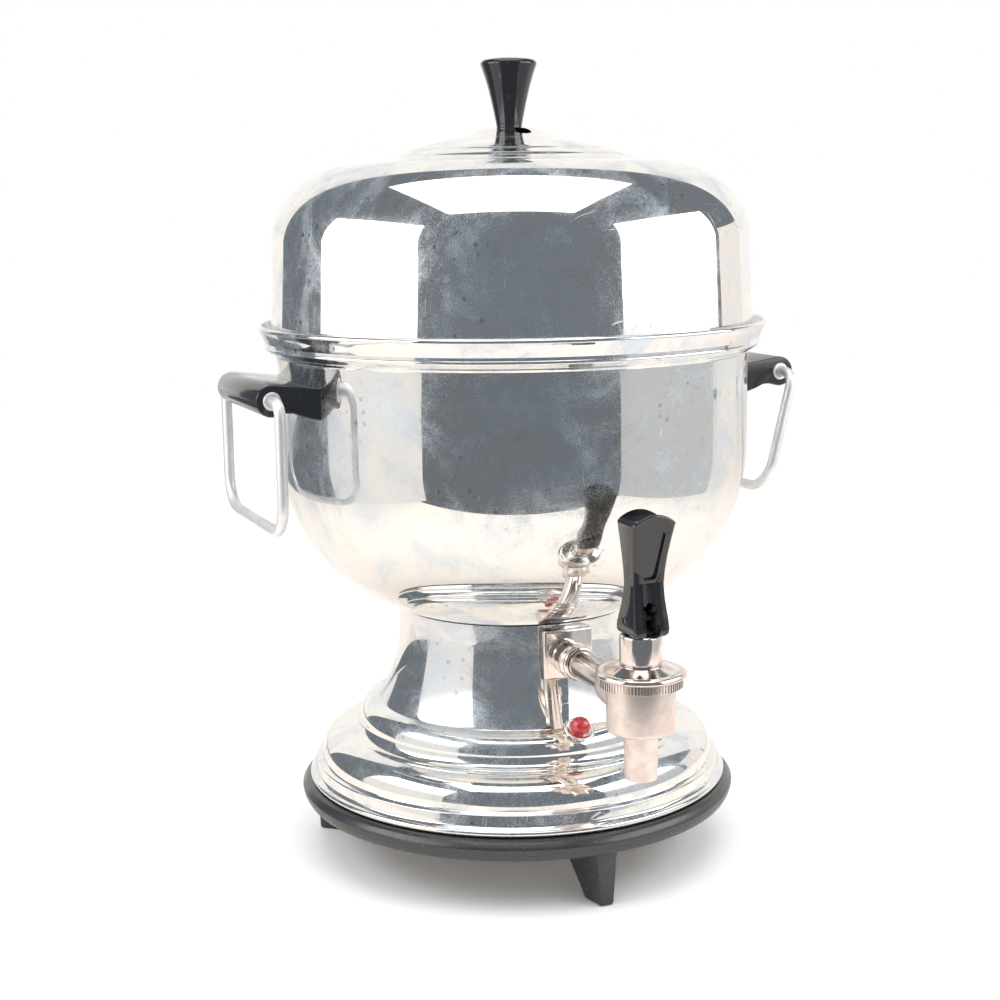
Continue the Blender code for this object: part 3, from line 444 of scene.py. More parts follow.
def mouldedPlastic(name):
    # phenolic moulding: deep black, lightened a little as a painted sheen, under a skin that carries dust
    # specks and rubbed patches
    clean, dusty, smooth, worn, dustSpacing, dustCover = mouldedLooks[name]
    made, tree, shader, where = newMaterial(name)
    handled = addNode(
        tree,
        "ShaderNodeTexNoise",
        {"Vector": where, "Scale": 60, "Detail": 6, "Roughness": 0.62, "Distortion": 0.5},
    )
    rough = addNode(
        tree,
        "ShaderNodeMapRange",
        {
            "Value": handled.outputs["Fac"],
            "From Min": 0.40,
            "From Max": 0.70,
            "To Min": smooth,
            "To Max": worn,
        },
    )
    specks = addNode(
        tree, "ShaderNodeTexVoronoi", {"Vector": where, "Scale": 1000 / dustSpacing, "Randomness": 1.0}
    )
    speckMask = addNode(
        tree, "ShaderNodeMapRange", {"Value": specks.outputs["Distance"], "From Min": 0.16, "From Max": 0.06}
    )
    drift = addNode(tree, "ShaderNodeTexNoise", {"Vector": where, "Scale": 90, "Detail": 3})
    driftMask = addNode(
        tree,
        "ShaderNodeMapRange",
        {"Value": drift.outputs["Fac"], "From Min": 0.50, "From Max": 0.62, "To Max": dustCover},
    )
    dust = addNode(
        tree,
        "ShaderNodeMath",
        {0: speckMask.outputs["Result"], 1: driftMask.outputs["Result"]},
        operation="MULTIPLY",
    )
    tint = addNode(
        tree,
        "ShaderNodeMix",
        {"Factor": dust.outputs[0], "A": toLinear(clean), "B": toLinear(dusty)},
        data_type="RGBA",
    )
    skin = addNode(tree, "ShaderNodeTexNoise", {"Vector": where, "Scale": 700, "Detail": 4})
    bump = addNode(
        tree, "ShaderNodeBump", {"Height": skin.outputs["Fac"], "Strength": 0.08, "Distance": 0.0002}
    )
    tree.links.new(tint.outputs["Result"], shader.inputs["Base Color"])
    tree.links.new(rough.outputs["Result"], shader.inputs["Roughness"])
    tree.links.new(bump.outputs["Normal"], shader.inputs["Normal"])
    shader.inputs["IOR"].default_value = 1.66
    return made


def redJewel():
    # cut coloured glass: bright edges where the facets meet, deep red inside
    made, tree, shader, where = newMaterial("redCutGlass")
    cloud = addNode(tree, "ShaderNodeTexNoise", {"Vector": where, "Scale": 260, "Detail": 3})
    depth = addNode(
        tree, "ShaderNodeMapRange", {"Value": cloud.outputs["Fac"], "From Min": 0.35, "From Max": 0.7}
    )
    tint = addNode(
        tree,
        "ShaderNodeMix",
        {"Factor": depth.outputs["Result"], "A": toLinear("#B4101E"), "B": toLinear("#E8505C")},
        data_type="RGBA",
    )
    polish = addNode(
        tree, "ShaderNodeMapRange", {"Value": cloud.outputs["Fac"], "To Min": 0.04, "To Max": 0.16}
    )
    tree.links.new(tint.outputs["Result"], shader.inputs["Base Color"])
    tree.links.new(polish.outputs["Result"], shader.inputs["Roughness"])
    shader.inputs["IOR"].default_value = 1.52
    shader.inputs["Transmission Weight"].default_value = 0.3
    shader.inputs["Coat Weight"].default_value = 0.6
    return made


steel = polishedSteel()
nickel = platedMetal("wornNickelPlate")
brightNickel = platedMetal("brightNickelPlate")
brightWire = platedMetal("brightDrawnWire")
aluminium = platedMetal("spunAluminium")
blackGloss = mouldedPlastic("glossBlackPhenolic")
blackSatin = mouldedPlastic("satinBlackPhenolic")
jewel = redJewel()

finishes = {
    "polished_steel": steel,
    "nickel_plate": nickel,
    "bright_wire": brightWire,
    "plain_steel": platedMetal("zincedSteel"),
    "spun_aluminium": aluminium,
    "brass_metal": platedMetal("machinedBrass"),
    "black_phenolic": blackGloss,
    "satin_phenolic": blackSatin,
    "rubber": mouldedPlastic("blackRubber"),
    "lead_sleeve": mouldedPlastic("wovenLeadSleeve"),
    "red_lens": jewel,
}
for part in frame["record"]["subparts"]:
    node = frame["nodes"][part["node"]]
    node.data.materials.clear()
    node.data.materials.append(finishes[part["material_slot"]])
print("materials made:", len(finishes))


# lid

lidSize = {
    "bossTop": 438.5,
    "shoulderCentre": (88.0, 373.0),
    "shoulder": (54.0, 46.0),
    "edge": (145.0, 312.5),
    "sheet": 0.8,
    "ventRadius": 5.2,
}


def makeLid():
    size = lidSize
    across, along = size["shoulder"]
    top = [(15.2, size["bossTop"], 2.5), (24.5, 434.3, 5.0), (60.0, 426.9, 2.6), (63.4, 424.9, 2.0)]
    top += [(69.4, 423.5, 2.4), (72.6, 421.3, 2.4)]
    outer = softened([(0.0, size["bossTop"])] + top + [(80.0, 419.8)])
    outer += arcOf(size["shoulderCentre"], across, along, 88, 0, 44)
    outer += [(142.4, 364.0), (143.2, 348.0), (144.0, 331.0), (144.6, 320.0), size["edge"]]
    t = size["sheet"]
    inner = [(144.2, 312.5), (143.2, 331.0), (141.6, 364.0)]
    inner += arcOf(size["shoulderCentre"], across - t, along - t, 0, 88, 30)
    inner += [(71.0, 420.4), (68.8, 423.0), (62.0, 424.4), (24.3, 433.4), (15.0, 437.7), (0.0, 437.7)]
    lid = toObject(spinOutline(outer + inner, 200), "lidDome", steel)
    slope = Vector((0, -0.42, 0.91))
    vent = Vector((0, -19.3, 436.4))
    cutter = toObject(rodOf(size["ventRadius"], vent - slope * 5, vent + slope * 5, 40), "ventCutter")
    cutBy(lid, cutter)
    stands(lid, "lid", "lid_shell", slot="polished_steel")


knobSize = {"top": 479.0, "topRadius": 16.8, "waistRadius": 9.0, "footRadius": 7.4, "foot": 438.8}


def makeKnob():
    size = knobSize
    top = size["top"]
    outline = [(0.0, top), (9.0, top - 0.25), (15.6, top - 1.3, 1.2), (size["topRadius"], top - 3.2, 1.0)]
    outline += [(14.4, top - 10.0), (12.2, 461.5), (10.3, 453.5), (size["waistRadius"], 447.5)]
    outline += [(7.8, 441.5, 1.0), (size["footRadius"], size["foot"], 0.4), (0.0, size["foot"])]
    knob = toObject(spinOutline(softened(outline), 96), "lidKnob", blackGloss, sharp=40)
    stands(knob, "lid", "lid_knob", slot="black_phenolic")


# bowl

bowlSize = {
    "rim": (150.9, 324.4),
    "rimRoll": 1.6,
    "secondRoll": (147.2, 313.2),
    "wall": 141.5,
    "sheet": 0.9,
    "curveCentre": (38.5, 251.0),
    "curve": 103.0,
    "sump": 40.5,
}


def makeBowl():
    size = bowlSize
    roll, wall, t = size["rimRoll"], size["wall"], size["sheet"]
    outer = arcOf(size["rim"], roll, roll, 135, -55, 14)
    outer += softened([(151.2, 322.0, 0.5), (150.0, 319.8), (149.2, 317.6), (148.2, 315.6, 0.5)])
    outer += arcOf(size["secondRoll"], roll, roll, 42, -70, 10)
    outer += softened([(146.8, 311.0, 0.7), (145.2, 309.9, 0.8), (142.4, 309.1, 0.8), (wall, 306.6, 1.0)])
    outer += [(wall, 300.0), (wall, 290.0), (wall, 280.0), (wall, 270.0), (wall, 260.0)]
    outer += arcOf(size["curveCentre"], size["curve"], size["curve"], 0, -80, 60)
    sump = size["sump"]
    outer += softened([(50.0, 149.3), (43.2, 148.8, 2.0), (sump, 146.0, 2.0), (sump, 112.0, 1.5)])
    outer += [(38.5, 110.0), (0.0, 110.0)]
    inner = [(0.0, 110.9), (38.2, 110.9), (sump - t, 112.6), (sump - t, 147.4), (42.6, 149.7)]
    inner += arcOf(size["curveCentre"], size["curve"] - t, size["curve"] - t, -79, 0, 50)
    inner += [(wall - t, 270.0), (wall - t, 290.0), (wall - t, 307.6), (144.6, 311.2), (147.1, 314.6)]
    inner += [(148.2, 318.0), (149.2, 321.5)]
    bowl = toObject(spinOutline(inner + outer, 200), "bowlShell", steel)
    stands(bowl, "base", "vessel", slot="polished_steel")


# pedestal and base ring

pedestalSize = {
    "neck": 71.8,
    "neckTop": 153.0,
    "flareStart": 142.0,
    "flare": 89.3,
    "stepOne": (86.0, 82.5),
    "stepOneRadius": 11.5,
    "cove": 7.0,
    "stepTwo": (104.0, 60.5),
    "stepTwoSize": (17.5, 15.0),
    "bead": (127.6, 47.8),
    "beadRadius": 1.9,
    "sheet": 0.9,
}


def makePedestal():
    size = pedestalSize
    flare = (size["neck"] + size["flare"], size["flareStart"])
    one, cove = size["stepOne"], size["cove"]
    r = size["stepOneRadius"]
    outer = [(size["neck"], size["neckTop"]), (size["neck"], 148.0)]
    outer += arcOf(flare, size["flare"], size["flare"], 180, 212, 26)
    outer += softened([(85.6, 94.4, 0.5), (86.0, 94.0, 0.3)])
    outer += arcOf(one, r, r, 86, 2, 20)
    outer += arcOf((one[0] + r + cove, one[1]), cove, cove, 180, 268, 14)
    outer += arcOf(size["stepTwo"], *size["stepTwoSize"], 88, 2, 24)
    band = [(121.5, 59.0, 0.5), (122.3, 58.0, 0.5), (124.9, 57.4, 0.7), (125.5, 51.2, 0.8)]
    outer += softened(band + [(127.0, 49.9, 0.3)])
    outer += arcOf(size["bead"], size["beadRadius"], size["beadRadius"], 80, -85, 14)
    inner = [(126.4, 46.0), (126.0, 50.4), (122.6, 54.4), (120.6, 60.0)]
    inner += arcOf(size["stepTwo"], 16.6, 14.1, 10, 80, 10)
    inner += [(103.0, 74.6), (97.0, 78.0), (96.4, 84.0)]
    inner += arcOf(one, r - 0.9, r - 0.9, 10, 86, 8)
    inner += arcOf(flare, size["flare"] + 0.9, size["flare"] + 0.9, 212, 180, 12)
    inner += [(size["neck"] - 0.9, size["neckTop"])]
    shell = toObject(spinOutline(outer + inner, 200, closed=True), "pedestalShell", steel)
    cutter = boxOf((-18.4, 60.0, 103.6), (18.4, 95.0, 128.4), 4.5, 4)
    cutBy(shell, toObject(cutter, "inletCutter"))
    stands(shell, "base", "pedestal", slot="polished_steel")


ringSize = {
    "outline": [
        (129.5, 45.4, 0.5),
        (131.9, 44.3, 1.0),
        (134.0, 41.7, 0.5),
        (134.6, 40.6, 0.5),
        (133.9, 36.8, 1.5),
        (131.6, 33.0, 1.0),
        (119.0, 32.8, 0.6),
        (118.6, 41.2, 0.5),
        (104.2, 41.4, 0.5),
        (104.2, 45.4, 0.5),
    ],
    "footBottom": (127.4, 112.0),
    "footTop": (128.2, 97.0),
    "footBottomHalf": (4.0, 7.0),
    "footTopHalf": (6.2, 17.0),
    "footAzimuths": (-90, 30, 150),
}


def makeFoot(azimuth):
    size = ringSize
    bm = bmesh.new()
    bmesh.ops.create_cube(bm, size=2.0)
    for vert in bm.verts:
        end = 0 if vert.co.x > 0 else 1
        high = vert.co.z > 0
        radius = size["footTop" if high else "footBottom"][end]
        half = size["footTopHalf" if high else "footBottomHalf"][end]
        vert.co = (radius, vert.co.y * half, 36.0 if high else 0.0)
    bevelAll(bm, 1.6, 4, above=20)
    return placed(bm, Matrix.Rotation(math.radians(azimuth), 4, "Z"))


def makeBaseRing():
    shapes = [spinOutline(softened(ringSize["outline"]), 180, closed=True)]
    shapes += [makeFoot(azimuth) for azimuth in ringSize["footAzimuths"]]
    ring = toObject(joined(*shapes), "baseRing", blackSatin)
    nodes = ("foot_ring", "foot_front", "foot_right", "foot_left")
    stands(ring, "base", *nodes, slot="satin_phenolic")


# handles

handleSize = {
    "pivot": (162.5, 289.8),
    "halfLength": 43.5,
    "barrel": 9.0,
    "wire": 3.15,
    "legReach": 58.7,
    "drop": 73.0,
    "topBend": 9.0,
    "lowBend": 19.0,
    "lean": {"left": 0.0, "right": 14.5},
}


def makeBracket(side):
    size = handleSize
    sign = -1 if side == "left" else 1
    x, z = size["pivot"]
    outline = [(a - x, b - z) for a, b in arcOf((x, z), size["barrel"], size["barrel"], -100, 97, 22)]
    outline += [(-14.0, 7.3), (-31.0, 5.2), (-31.0, -12.8), (-24.0, -11.8), (-17.5, -9.9), (-12.0, -7.6)]
    outline += [(-7.5, -7.3)]
    bm = bmesh.new()
    loop = [bm.verts.new((sign * a, -size["halfLength"], b)) for a, b in outline]
    face = bm.faces.new(loop)
    made = bmesh.ops.extrude_face_region(bm, geom=[face])
    moved = [v for v in made["geom"] if isinstance(v, bmesh.types.BMVert)]
    bmesh.ops.translate(bm, vec=(0, 2 * size["halfLength"], 0), verts=moved)
    bmesh.ops.recalc_face_normals(bm, faces=bm.faces)
    ends = [f for f in bm.faces if abs(f.normal.y) > 0.9]
    rims = [e for f in ends for e in f.edges]
    bevelEdges(bm, rims, 0.8, 3)
    placed(bm, Matrix.Translation((sign * x, 0, z)))
    bracket = toObject(bm, f"bracket{side.title()}", blackGloss, sharp=40)
    cutter = toObject(rodOf(141.5, (0, 0, 260), (0, 0, 320), 200), "wallCutter")
    cutBy(bracket, cutter, sharp=40)
    stands(bracket, "base", f"bracket_{side}", slot="black_phenolic")


def makeFerrules(side):
    size = handleSize
    sign = -1 if side == "left" else 1
    x, z = size["pivot"]
    for end, way in (("front", 1), ("rear", -1)):
        outline = [(3.3, 1.2, 0.4), (4.6, 1.3, 0.6), (5.2, 0.6, 0.5), (5.2, -12.0), (3.3, -12.0)]
        bm = spinOutline(softened(outline), 48, closed=True)
        placed(bm, Matrix.Rotation(math.radians(90) * way, 4, "X"))
        placed(bm, Matrix.Translation((sign * x, -way * size["halfLength"], z)))
        bmesh.ops.recalc_face_normals(bm, faces=bm.faces)
        ferrule = toObject(bm, f"ferrule{side.title()}{end.title()}", brightWire)
        stands(ferrule, "base", f"ferrule_{side}_{end}", slot="bright_wire")


def makeBail(side):
    size = handleSize
    sign = -1 if side == "left" else 1
    x, z = size["pivot"]
    reach, drop, top, low = size["legReach"], size["drop"], size["topBend"], size["lowBend"]
    half = [(33.0, 0.0), (40.0, 0.0)] + arcOf((reach - top, -top), top, top, 90, 0, 10)
    half += arcOf((reach - low, low - drop), low, low, 0, -90, 16)
    path = half + [(-y, dz) for y, dz in half[::-1]]
    lean = math.radians(size["lean"][side])
    data = bpy.data.curves.new("bailWire", "CURVE")
    data.dimensions = "3D"
    data.bevel_depth = size["wire"] * 0.001
    data.bevel_resolution = 6
    data.use_fill_caps = True
    spline = data.splines.new("POLY")
    spline.points.add(len(path) - 1)
    for point, (y, dz) in zip(spline.points, path):
        px = sign * (x + dz * math.sin(lean))
        point.co = (px * 0.001, (y + axisShift) * 0.001, (z + dz * math.cos(lean)) * 0.001, 1)
    wire = bpy.data.objects.new("bailWire", data)
    bpy.context.scene.collection.objects.link(wire)
    bpy.context.view_layer.update()
    graph = bpy.context.evaluated_depsgraph_get()
    mesh = bpy.data.meshes.new_from_object(wire.evaluated_get(graph))
    bpy.data.objects.remove(wire)
    bm = bmesh.new()
    bm.from_mesh(mesh)
    bmesh.ops.remove_doubles(bm, verts=bm.verts, dist=0.00001)
    bmesh.ops.recalc_face_normals(bm, faces=bm.faces)
    bm.to_mesh(mesh)
    bm.free()
    mesh.shade_smooth()
    mesh.set_sharp_from_angle(angle=math.radians(50))
    mesh.materials.clear()
    mesh.materials.append(brightWire)
    bail = bpy.data.objects.new(f"bail{side.title()}", mesh)
    bpy.context.scene.collection.objects.link(bail)
    stands(bail, f"bail_{side}", f"bail_{side}", slot="bright_wire")


# tap

tapSize = {
    "y": -167.7,
    "pipeZ": 134.0,
    "pipe": 8.0,
    "barrel": 18.8,
    "barrelTop": 141.0,
    "barrelBottom": 115.8,
    "spout": 9.2,
    "spoutEnd": 89.4,
    "boss": 12.7,
    "knurl": (22.6, 141.3, 146.4),
    "knurlTeeth": 76,
    "rim": 24.5,
    "sleeve": 11.66,
    "sleeveTop": 169.6,
}


def makeTapBody():
    size = tapSize
    barrel, spout = size["barrel"], size["spout"]
    top, bottom = size["barrelTop"], size["barrelBottom"]
    outline = [(15.5, top), (barrel, top, 0.4), (barrel, bottom, 2.6)]
    outline += [(spout + 0.3, bottom, 1.0), (spout - 0.3, size["spoutEnd"], 0.4)]
    outline += [(6.8, size["spoutEnd"], 0.4), (6.4, 120.0), (8.6, 119.0), (15.5, 119.0)]
    body = placed(spinOutline(softened(outline), 112, closed=True), Matrix.Translation((0, size["y"], 0)))
    boss = size["boss"]
    stub = [(0.0, 150.5), (boss, 150.5), (boss, 140.0), (boss - 0.3, 137.4), (boss - 1.4, 134.6)]
    stub += [(boss - 3.0, 132.4), (boss - 4.6, 131.0, 1.0), (0.0, 130.6)]
    stub = placed(spinOutline(softened(stub), 72), alongY(0, size["pipeZ"]))
    tapBody = toObject(body, "tapBody", nickel)
    bossPiece = toObject(stub, "boss")
    room = toObject(rodOf(size["rim"] + 0.6, (0, size["y"], 141.0), (0, size["y"], 160.0), 112), "room")
    cutBy(bossPiece, room)
    cutBy(tapBody, bossPiece, "UNION")
    chamber = toObject(rodOf(15.5, (0, size["y"], 119.2), (0, size["y"], 145.0), 72), "chamber")
    cutBy(tapBody, chamber)
    tapBody.data.materials.clear()
    tapBody.data.materials.append(nickel)
    stands(tapBody, "base", "tap_body", slot="nickel_plate")


def makeBonnet():
    size = tapSize
    radius, low, high = size["knurl"]
    rim = size["rim"]
    outline = [(9.2, 152.9), (13.2, 153.0, 0.6), (20.4, 149.5, 1.2), (21.6, 149.6, 0.8), (22.4, 150.0, 0.5)]
    outline += [(23.6, 149.6, 0.6), (rim, 148.2, 0.8), (rim, 147.2, 0.6), (radius + 0.6, high, 0.4)]
    outline += [(radius - 1.0, high - 0.2), (radius - 1.0, low), (15.1, low), (15.1, 138.0), (9.2, 138.0)]
    shell = spinOutline(softened(outline), 120, closed=True)
    # teeth: every other pair of a circle's points is drawn in, then the ring is pulled up
    band = bmesh.new()
    bmesh.ops.create_circle(band, cap_ends=False, radius=radius, segments=size["knurlTeeth"] * 4)
    band.verts.ensure_lookup_table()
    for i, vert in enumerate(band.verts):
        if i % 4 in (1, 2):
            vert.co.xy *= (radius - 0.75) / radius
    lowest = list(band.edges)
    made = bmesh.ops.extrude_edge_only(band, edges=lowest)
    risen = [v for v in made["geom"] if isinstance(v, bmesh.types.BMVert)]
    bmesh.ops.translate(band, vec=(0, 0, high - low - 0.6), verts=risen)
    upper = [e for e in made["geom"] if isinstance(e, bmesh.types.BMEdge)]
    again = bmesh.ops.extrude_edge_only(band, edges=upper)
    inwards = [v for v in again["geom"] if isinstance(v, bmesh.types.BMVert)]
    bmesh.ops.scale(band, vec=(0.94, 0.94, 1), verts=inwards)
    bmesh.ops.translate(band, vec=(0, 0, 0.6), verts=inwards)
    base = bmesh.ops.extrude_edge_only(band, edges=lowest)
    inner = [v for v in base["geom"] if isinstance(v, bmesh.types.BMVert)]
    bmesh.ops.scale(band, vec=(0.92, 0.92, 1), verts=inner)
    bmesh.ops.recalc_face_normals(band, faces=band.faces)
    placed(band, Matrix.Translation((0, 0, low + 0.1)))
    lug = boxOf((20.5, -3.2, 142.0), (26.9, 3.2, 147.6), 1.3, 4)
    whole = placed(joined(shell, band, lug), Matrix.Translation((0, size["y"], 0)))
    bonnet = toObject(whole, "tapBonnet", brightNickel)
    stands(bonnet, "base", "tap_bonnet", slot="nickel_plate")
    sleeve = size["sleeve"]
    top = size["sleeveTop"]
    outline = [(9.6, top, 0.3), (10.8, top, 0.6), (sleeve, top - 1.0, 0.5), (sleeve, 154.4, 0.3)]
    outline += [(sleeve - 0.5, 154.0, 0.2), (sleeve - 0.3, 153.1, 0.2), (9.6, 153.1)]
    tube = placed(spinOutline(softened(outline), 96, closed=True), Matrix.Translation((0, size["y"], 0)))
    stands(toObject(tube, "tapSleeve", brightNickel), "base", "tap_sleeve", slot="nickel_plate")


def makePipe():
    size = tapSize
    pipe = size["pipe"]
    outline = [(5.0, 141.0), (pipe, 141.0), (pipe, 96.0), (pipe, 60.0), (pipe, 35.6), (10.8, 35.6)]
    outline += [(10.8, 34.0), (5.0, 34.0)]
    tube = placed(spinOutline(outline, 72, closed=True), alongY(0, size["pipeZ"]))
    stands(toObject(tube, "tapPipe", brightNickel), "base", "tap_shank", slot="nickel_plate")
    rings = [(8.2, 94.3, 0.4), (9.3, 94.0, 0.6), (10.5, 92.6, 1.0), (9.5, 90.9, 0.4), (9.6, 90.0, 0.4)]
    rings += [(10.8, 88.2, 1.2), (10.8, 85.0, 1.0), (10.2, 83.8, 0.4), (10.3, 80.0, 0.4)]
    rings += [(9.4, 78.2, 0.6), (8.2, 78.2)]
    nut = placed(spinOutline(softened(rings), 72, closed=True), alongY(0, size["pipeZ"]))
    stands(toObject(nut, "couplingNut", brightNickel), "base", "coupling_nut", slot="nickel_plate")
    plate = boxOf((-15.5, -78.0, 121.6), (15.5, -62.0, 151.0), 1.6, 4)
    neck = [(0.0, 165.0), (71.8, 165.0), (71.8, 142.0), (73.5, 124.5), (76.0, 115.0), (0.0, 115.0)]
    cutter = spinOutline(neck, 160)
    escutcheon = toObject(plate, "tapEscutcheon", brightNickel)
    cutBy(escutcheon, toObject(cutter, "neckCutter"))
    stands(escutcheon, "base", "tap_escutcheon", slot="nickel_plate")


springSize = {
    "coil": 6.6,
    "wire": 0.4,
    "low": 128.8,
    "high": 145.8,
    "turns": 5,
    "fixedEnd": 146.6,
    "lift": 4.3,
}


def makeValveSpring():
    size = springSize
    bm = bmesh.new()
    bmesh.ops.create_circle(bm, cap_ends=False, radius=size["wire"], segments=10)
    placed(bm, Matrix.Translation((size["coil"], 0, size["low"])) @ Matrix.Rotation(math.radians(90), 4, "X"))
    steps = size["turns"] * 36
    rise = (size["high"] - size["low"]) / steps
    bmesh.ops.spin(
        bm,
        geom=list(bm.verts) + list(bm.edges),
        cent=(0, 0, 0),
        axis=(0, 0, 1),
        dvec=(0, 0, rise),
        angle=math.tau * size["turns"],
        steps=steps,
        use_merge=False,
    )
    bmesh.ops.holes_fill(bm, edges=[e for e in bm.edges if e.is_boundary])
    bmesh.ops.recalc_face_normals(bm, faces=bm.faces)
    placed(bm, Matrix.Translation((0, tapSize["y"], 0)))
    spring = toObject(bm, "valveSpring", finishes["plain_steel"], sharp=60)
    stands(spring, "base", "valve_spring", slot="plain_steel")
    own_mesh(spring)


leverSize = {
    "pin": 177.5,
    # z, half width, front y, back y
    "sections": [
        (170.2, 9.4, -180.3, -157.7),
        (171.4, 10.3, -181.3, -157.6),
        (174.0, 10.6, -181.5, -158.0),
        (179.0, 10.3, -180.6, -159.6),
        (184.0, 9.8, -179.3, -161.2),
        (190.0, 9.3, -178.0, -163.0),
        (197.5, 9.0, -177.0, -164.3),
        (205.0, 9.5, -177.6, -164.2),
        (213.0, 10.3, -179.0, -163.7),
        (221.0, 11.3, -181.0, -163.3),
        (228.0, 12.3, -183.0, -163.0),
        (231.0, 12.7, -183.8, -163.0),
    ],
    "crown": 236.0,
    "crownStart": 215.0,
    "notch": (4.2, 185.2),
    # half width, depth and height of the lower and upper edge, for the shallow rim and the panel inside it
    "panel": (((4.9, -176.5, 198.4), (8.4, -182.2, 228.0)), ((3.9, -174.9, 200.2), (7.2, -180.4, 226.2))),
}


def sectionAt(z):
    rows = leverSize["sections"]
    for low, high in zip(rows, rows[1:]):
        if z <= high[0]:
            t = (z - low[0]) / (high[0] - low[0])
            t = max(0.0, min(1.0, t))
            return [a + (b - a) * t for a, b in zip(low[1:], high[1:])]
    return list(rows[-1][1:])


def makeLever():
    size = leverSize
    # a rounded block drawn up through its cross-sections
    bm = bmesh.new()
    bmesh.ops.create_cube(bm, size=2.0)
    bmesh.ops.subdivide_edges(bm, edges=edgesAlong(bm, 2), cuts=47, use_grid_fill=False)
    corners = [e for e in edgesAlong(bm, 2) if e.calc_face_angle(0) > 1.0]
    bevelEdges(bm, corners, 0.22, 5)
    bmesh.ops.subdivide_edges(bm, edges=edgesAlong(bm, 0), cuts=9, use_grid_fill=True)
    low = size["sections"][0][0]
    straightTop = size["sections"][-1][0]
    for vert in bm.verts:
        u, v, w = vert.co
        z = low + (straightTop - low) * (w + 1) / 2
        half, front, back = sectionAt(z)
        y = front + (back - front) * (v + 1) / 2
        # the crown's rise grows from nothing where it starts to its full height at the top
        rise = max(0.0, (z - size["crownStart"]) / (straightTop - size["crownStart"]))
        vert.co = (u * half, y, z + (size["crown"] - straightTop) * (1 - u * u) * rise)
    rims = [e for e in bm.edges if e.calc_face_angle(0) > 0.9 and min(v.co.z for v in e.verts) > 225]
    bevelEdges(bm, rims, 0.9, 3)
    lever = toObject(bm, "tapLever", blackGloss, sharp=34)
    half, top = size["notch"]
    notch = boxOf((-half, -190, 160), (half, -160.6, top - 1.5))
    roof = rodOf(half, (0, -190, top - 1.6), (0, -160.6, top - 1.6), 32)
    cutBy(lever, toObject(notch, "notch"), sharp=34)
    cutBy(lever, toObject(roof, "notchRoof"), sharp=34)
    scoop = rodOf(7.6, (0, -186.2, 176.0), (0, -181.6, 199.5), 48)
    cutBy(lever, toObject(scoop, "scoop"), sharp=34)
    for low, high in size["panel"]:
        panel = bmesh.new()
        bmesh.ops.create_cube(panel, size=2.0)
        for vert in panel.verts:
            half, back, z = high if vert.co.z > 0 else low
            vert.co = (vert.co.x * half, -190.0 if vert.co.y < 0 else back, z)
        bevelEdges(panel, edgesAlong(panel, 1, 0.7), 1.6, 4)
        cutBy(lever, toObject(panel, "panel"), sharp=34)
    edges = lever.modifiers.new("rims", "BEVEL")
    edges.width = 0.00045
    edges.segments = 2
    edges.limit_method = "ANGLE"
    edges.angle_limit = math.radians(38)
    edges.use_clamp_overlap = True
    hole = rodOf(1.45, (-20, tapSize["y"], size["pin"]), (20, tapSize["y"], size["pin"]), 24)
    cutBy(lever, toObject(hole, "pinHole"), sharp=34)
    stands(lever, "tap_lever", "tap_lever", slot="black_phenolic")


# pilot lamp

lampSize = {"stepAngle": 66.0, "tilt": 60.0, "bezel": 9.0, "lens": 6.1, "facets": 12}


def makeLamp():
    size = lampSize
    # the lamp sits on the round of the first step
    a = math.radians(size["stepAngle"])
    (r, z), step = pedestalSize["stepOne"], pedestalSize["stepOneRadius"]
    seat = Vector((0, -(r + step * math.cos(a)), z + step * math.sin(a)))
    turn = Matrix.Translation(seat) @ Matrix.Rotation(math.radians(90 - size["tilt"]), 4, "X")
    edge = size["bezel"]
    outline = [(5.2, 0.6), (5.3, 2.4, 0.3), (6.4, 2.0, 0.5), (8.0, 2.5, 0.8), (edge, 2.1, 0.5)]
    outline += [(edge, 0.9, 0.4), (7.8, 0.3), (5.5, 0.3)]
    bezel = placed(spinOutline(softened(outline), 72, closed=True), turn)
    stands(toObject(bezel, "lampBezel", steel), "base", "lamp_bezel", slot="polished_steel")
    bm = bmesh.new()
    bmesh.ops.create_uvsphere(bm, u_segments=size["facets"], v_segments=9, radius=size["lens"])
    bmesh.ops.translate(bm, vec=(0, 0, 4.2), verts=bm.verts)
    whole = list(bm.verts) + list(bm.edges) + list(bm.faces)
    bmesh.ops.bisect_plane(bm, geom=whole, plane_co=(0, 0, 2.2), plane_no=(0, 0, -1), clear_outer=True)
    bmesh.ops.holes_fill(bm, edges=[e for e in bm.edges if e.is_boundary])
    for edge in bm.edges:
        edge.smooth = False
    bevelAll(bm, 0.22, 2, above=12)
    lens = toObject(placed(bm, turn), "lampLens", jewel, sharp=8)
    stands(lens, "base", "lamp_lens", slot="red_lens")


# inlet at the back


def makeInlet():
    bm = boxOf((-18, 66, 104), (18, 89, 128))
    bevelEdges(bm, edgesAlong(bm, 1), 4.5, 6)
    mouth = max(bm.faces, key=lambda f: f.calc_center_median().y)
    bmesh.ops.inset_region(bm, faces=[mouth], thickness=3.0, depth=0.0)
    made = bmesh.ops.extrude_discrete_faces(bm, faces=[mouth])
    floorFace = made["faces"][0]
    bmesh.ops.translate(bm, vec=(0, -19.0, 0), verts=floorFace.verts)
    bevelAll(bm, 0.6, 3, above=50)
    shroud = toObject(bm, "inletShroud", blackGloss, sharp=40)
    stands(shroud, "base", "inlet_shroud", slot="black_phenolic")


# percolator insert


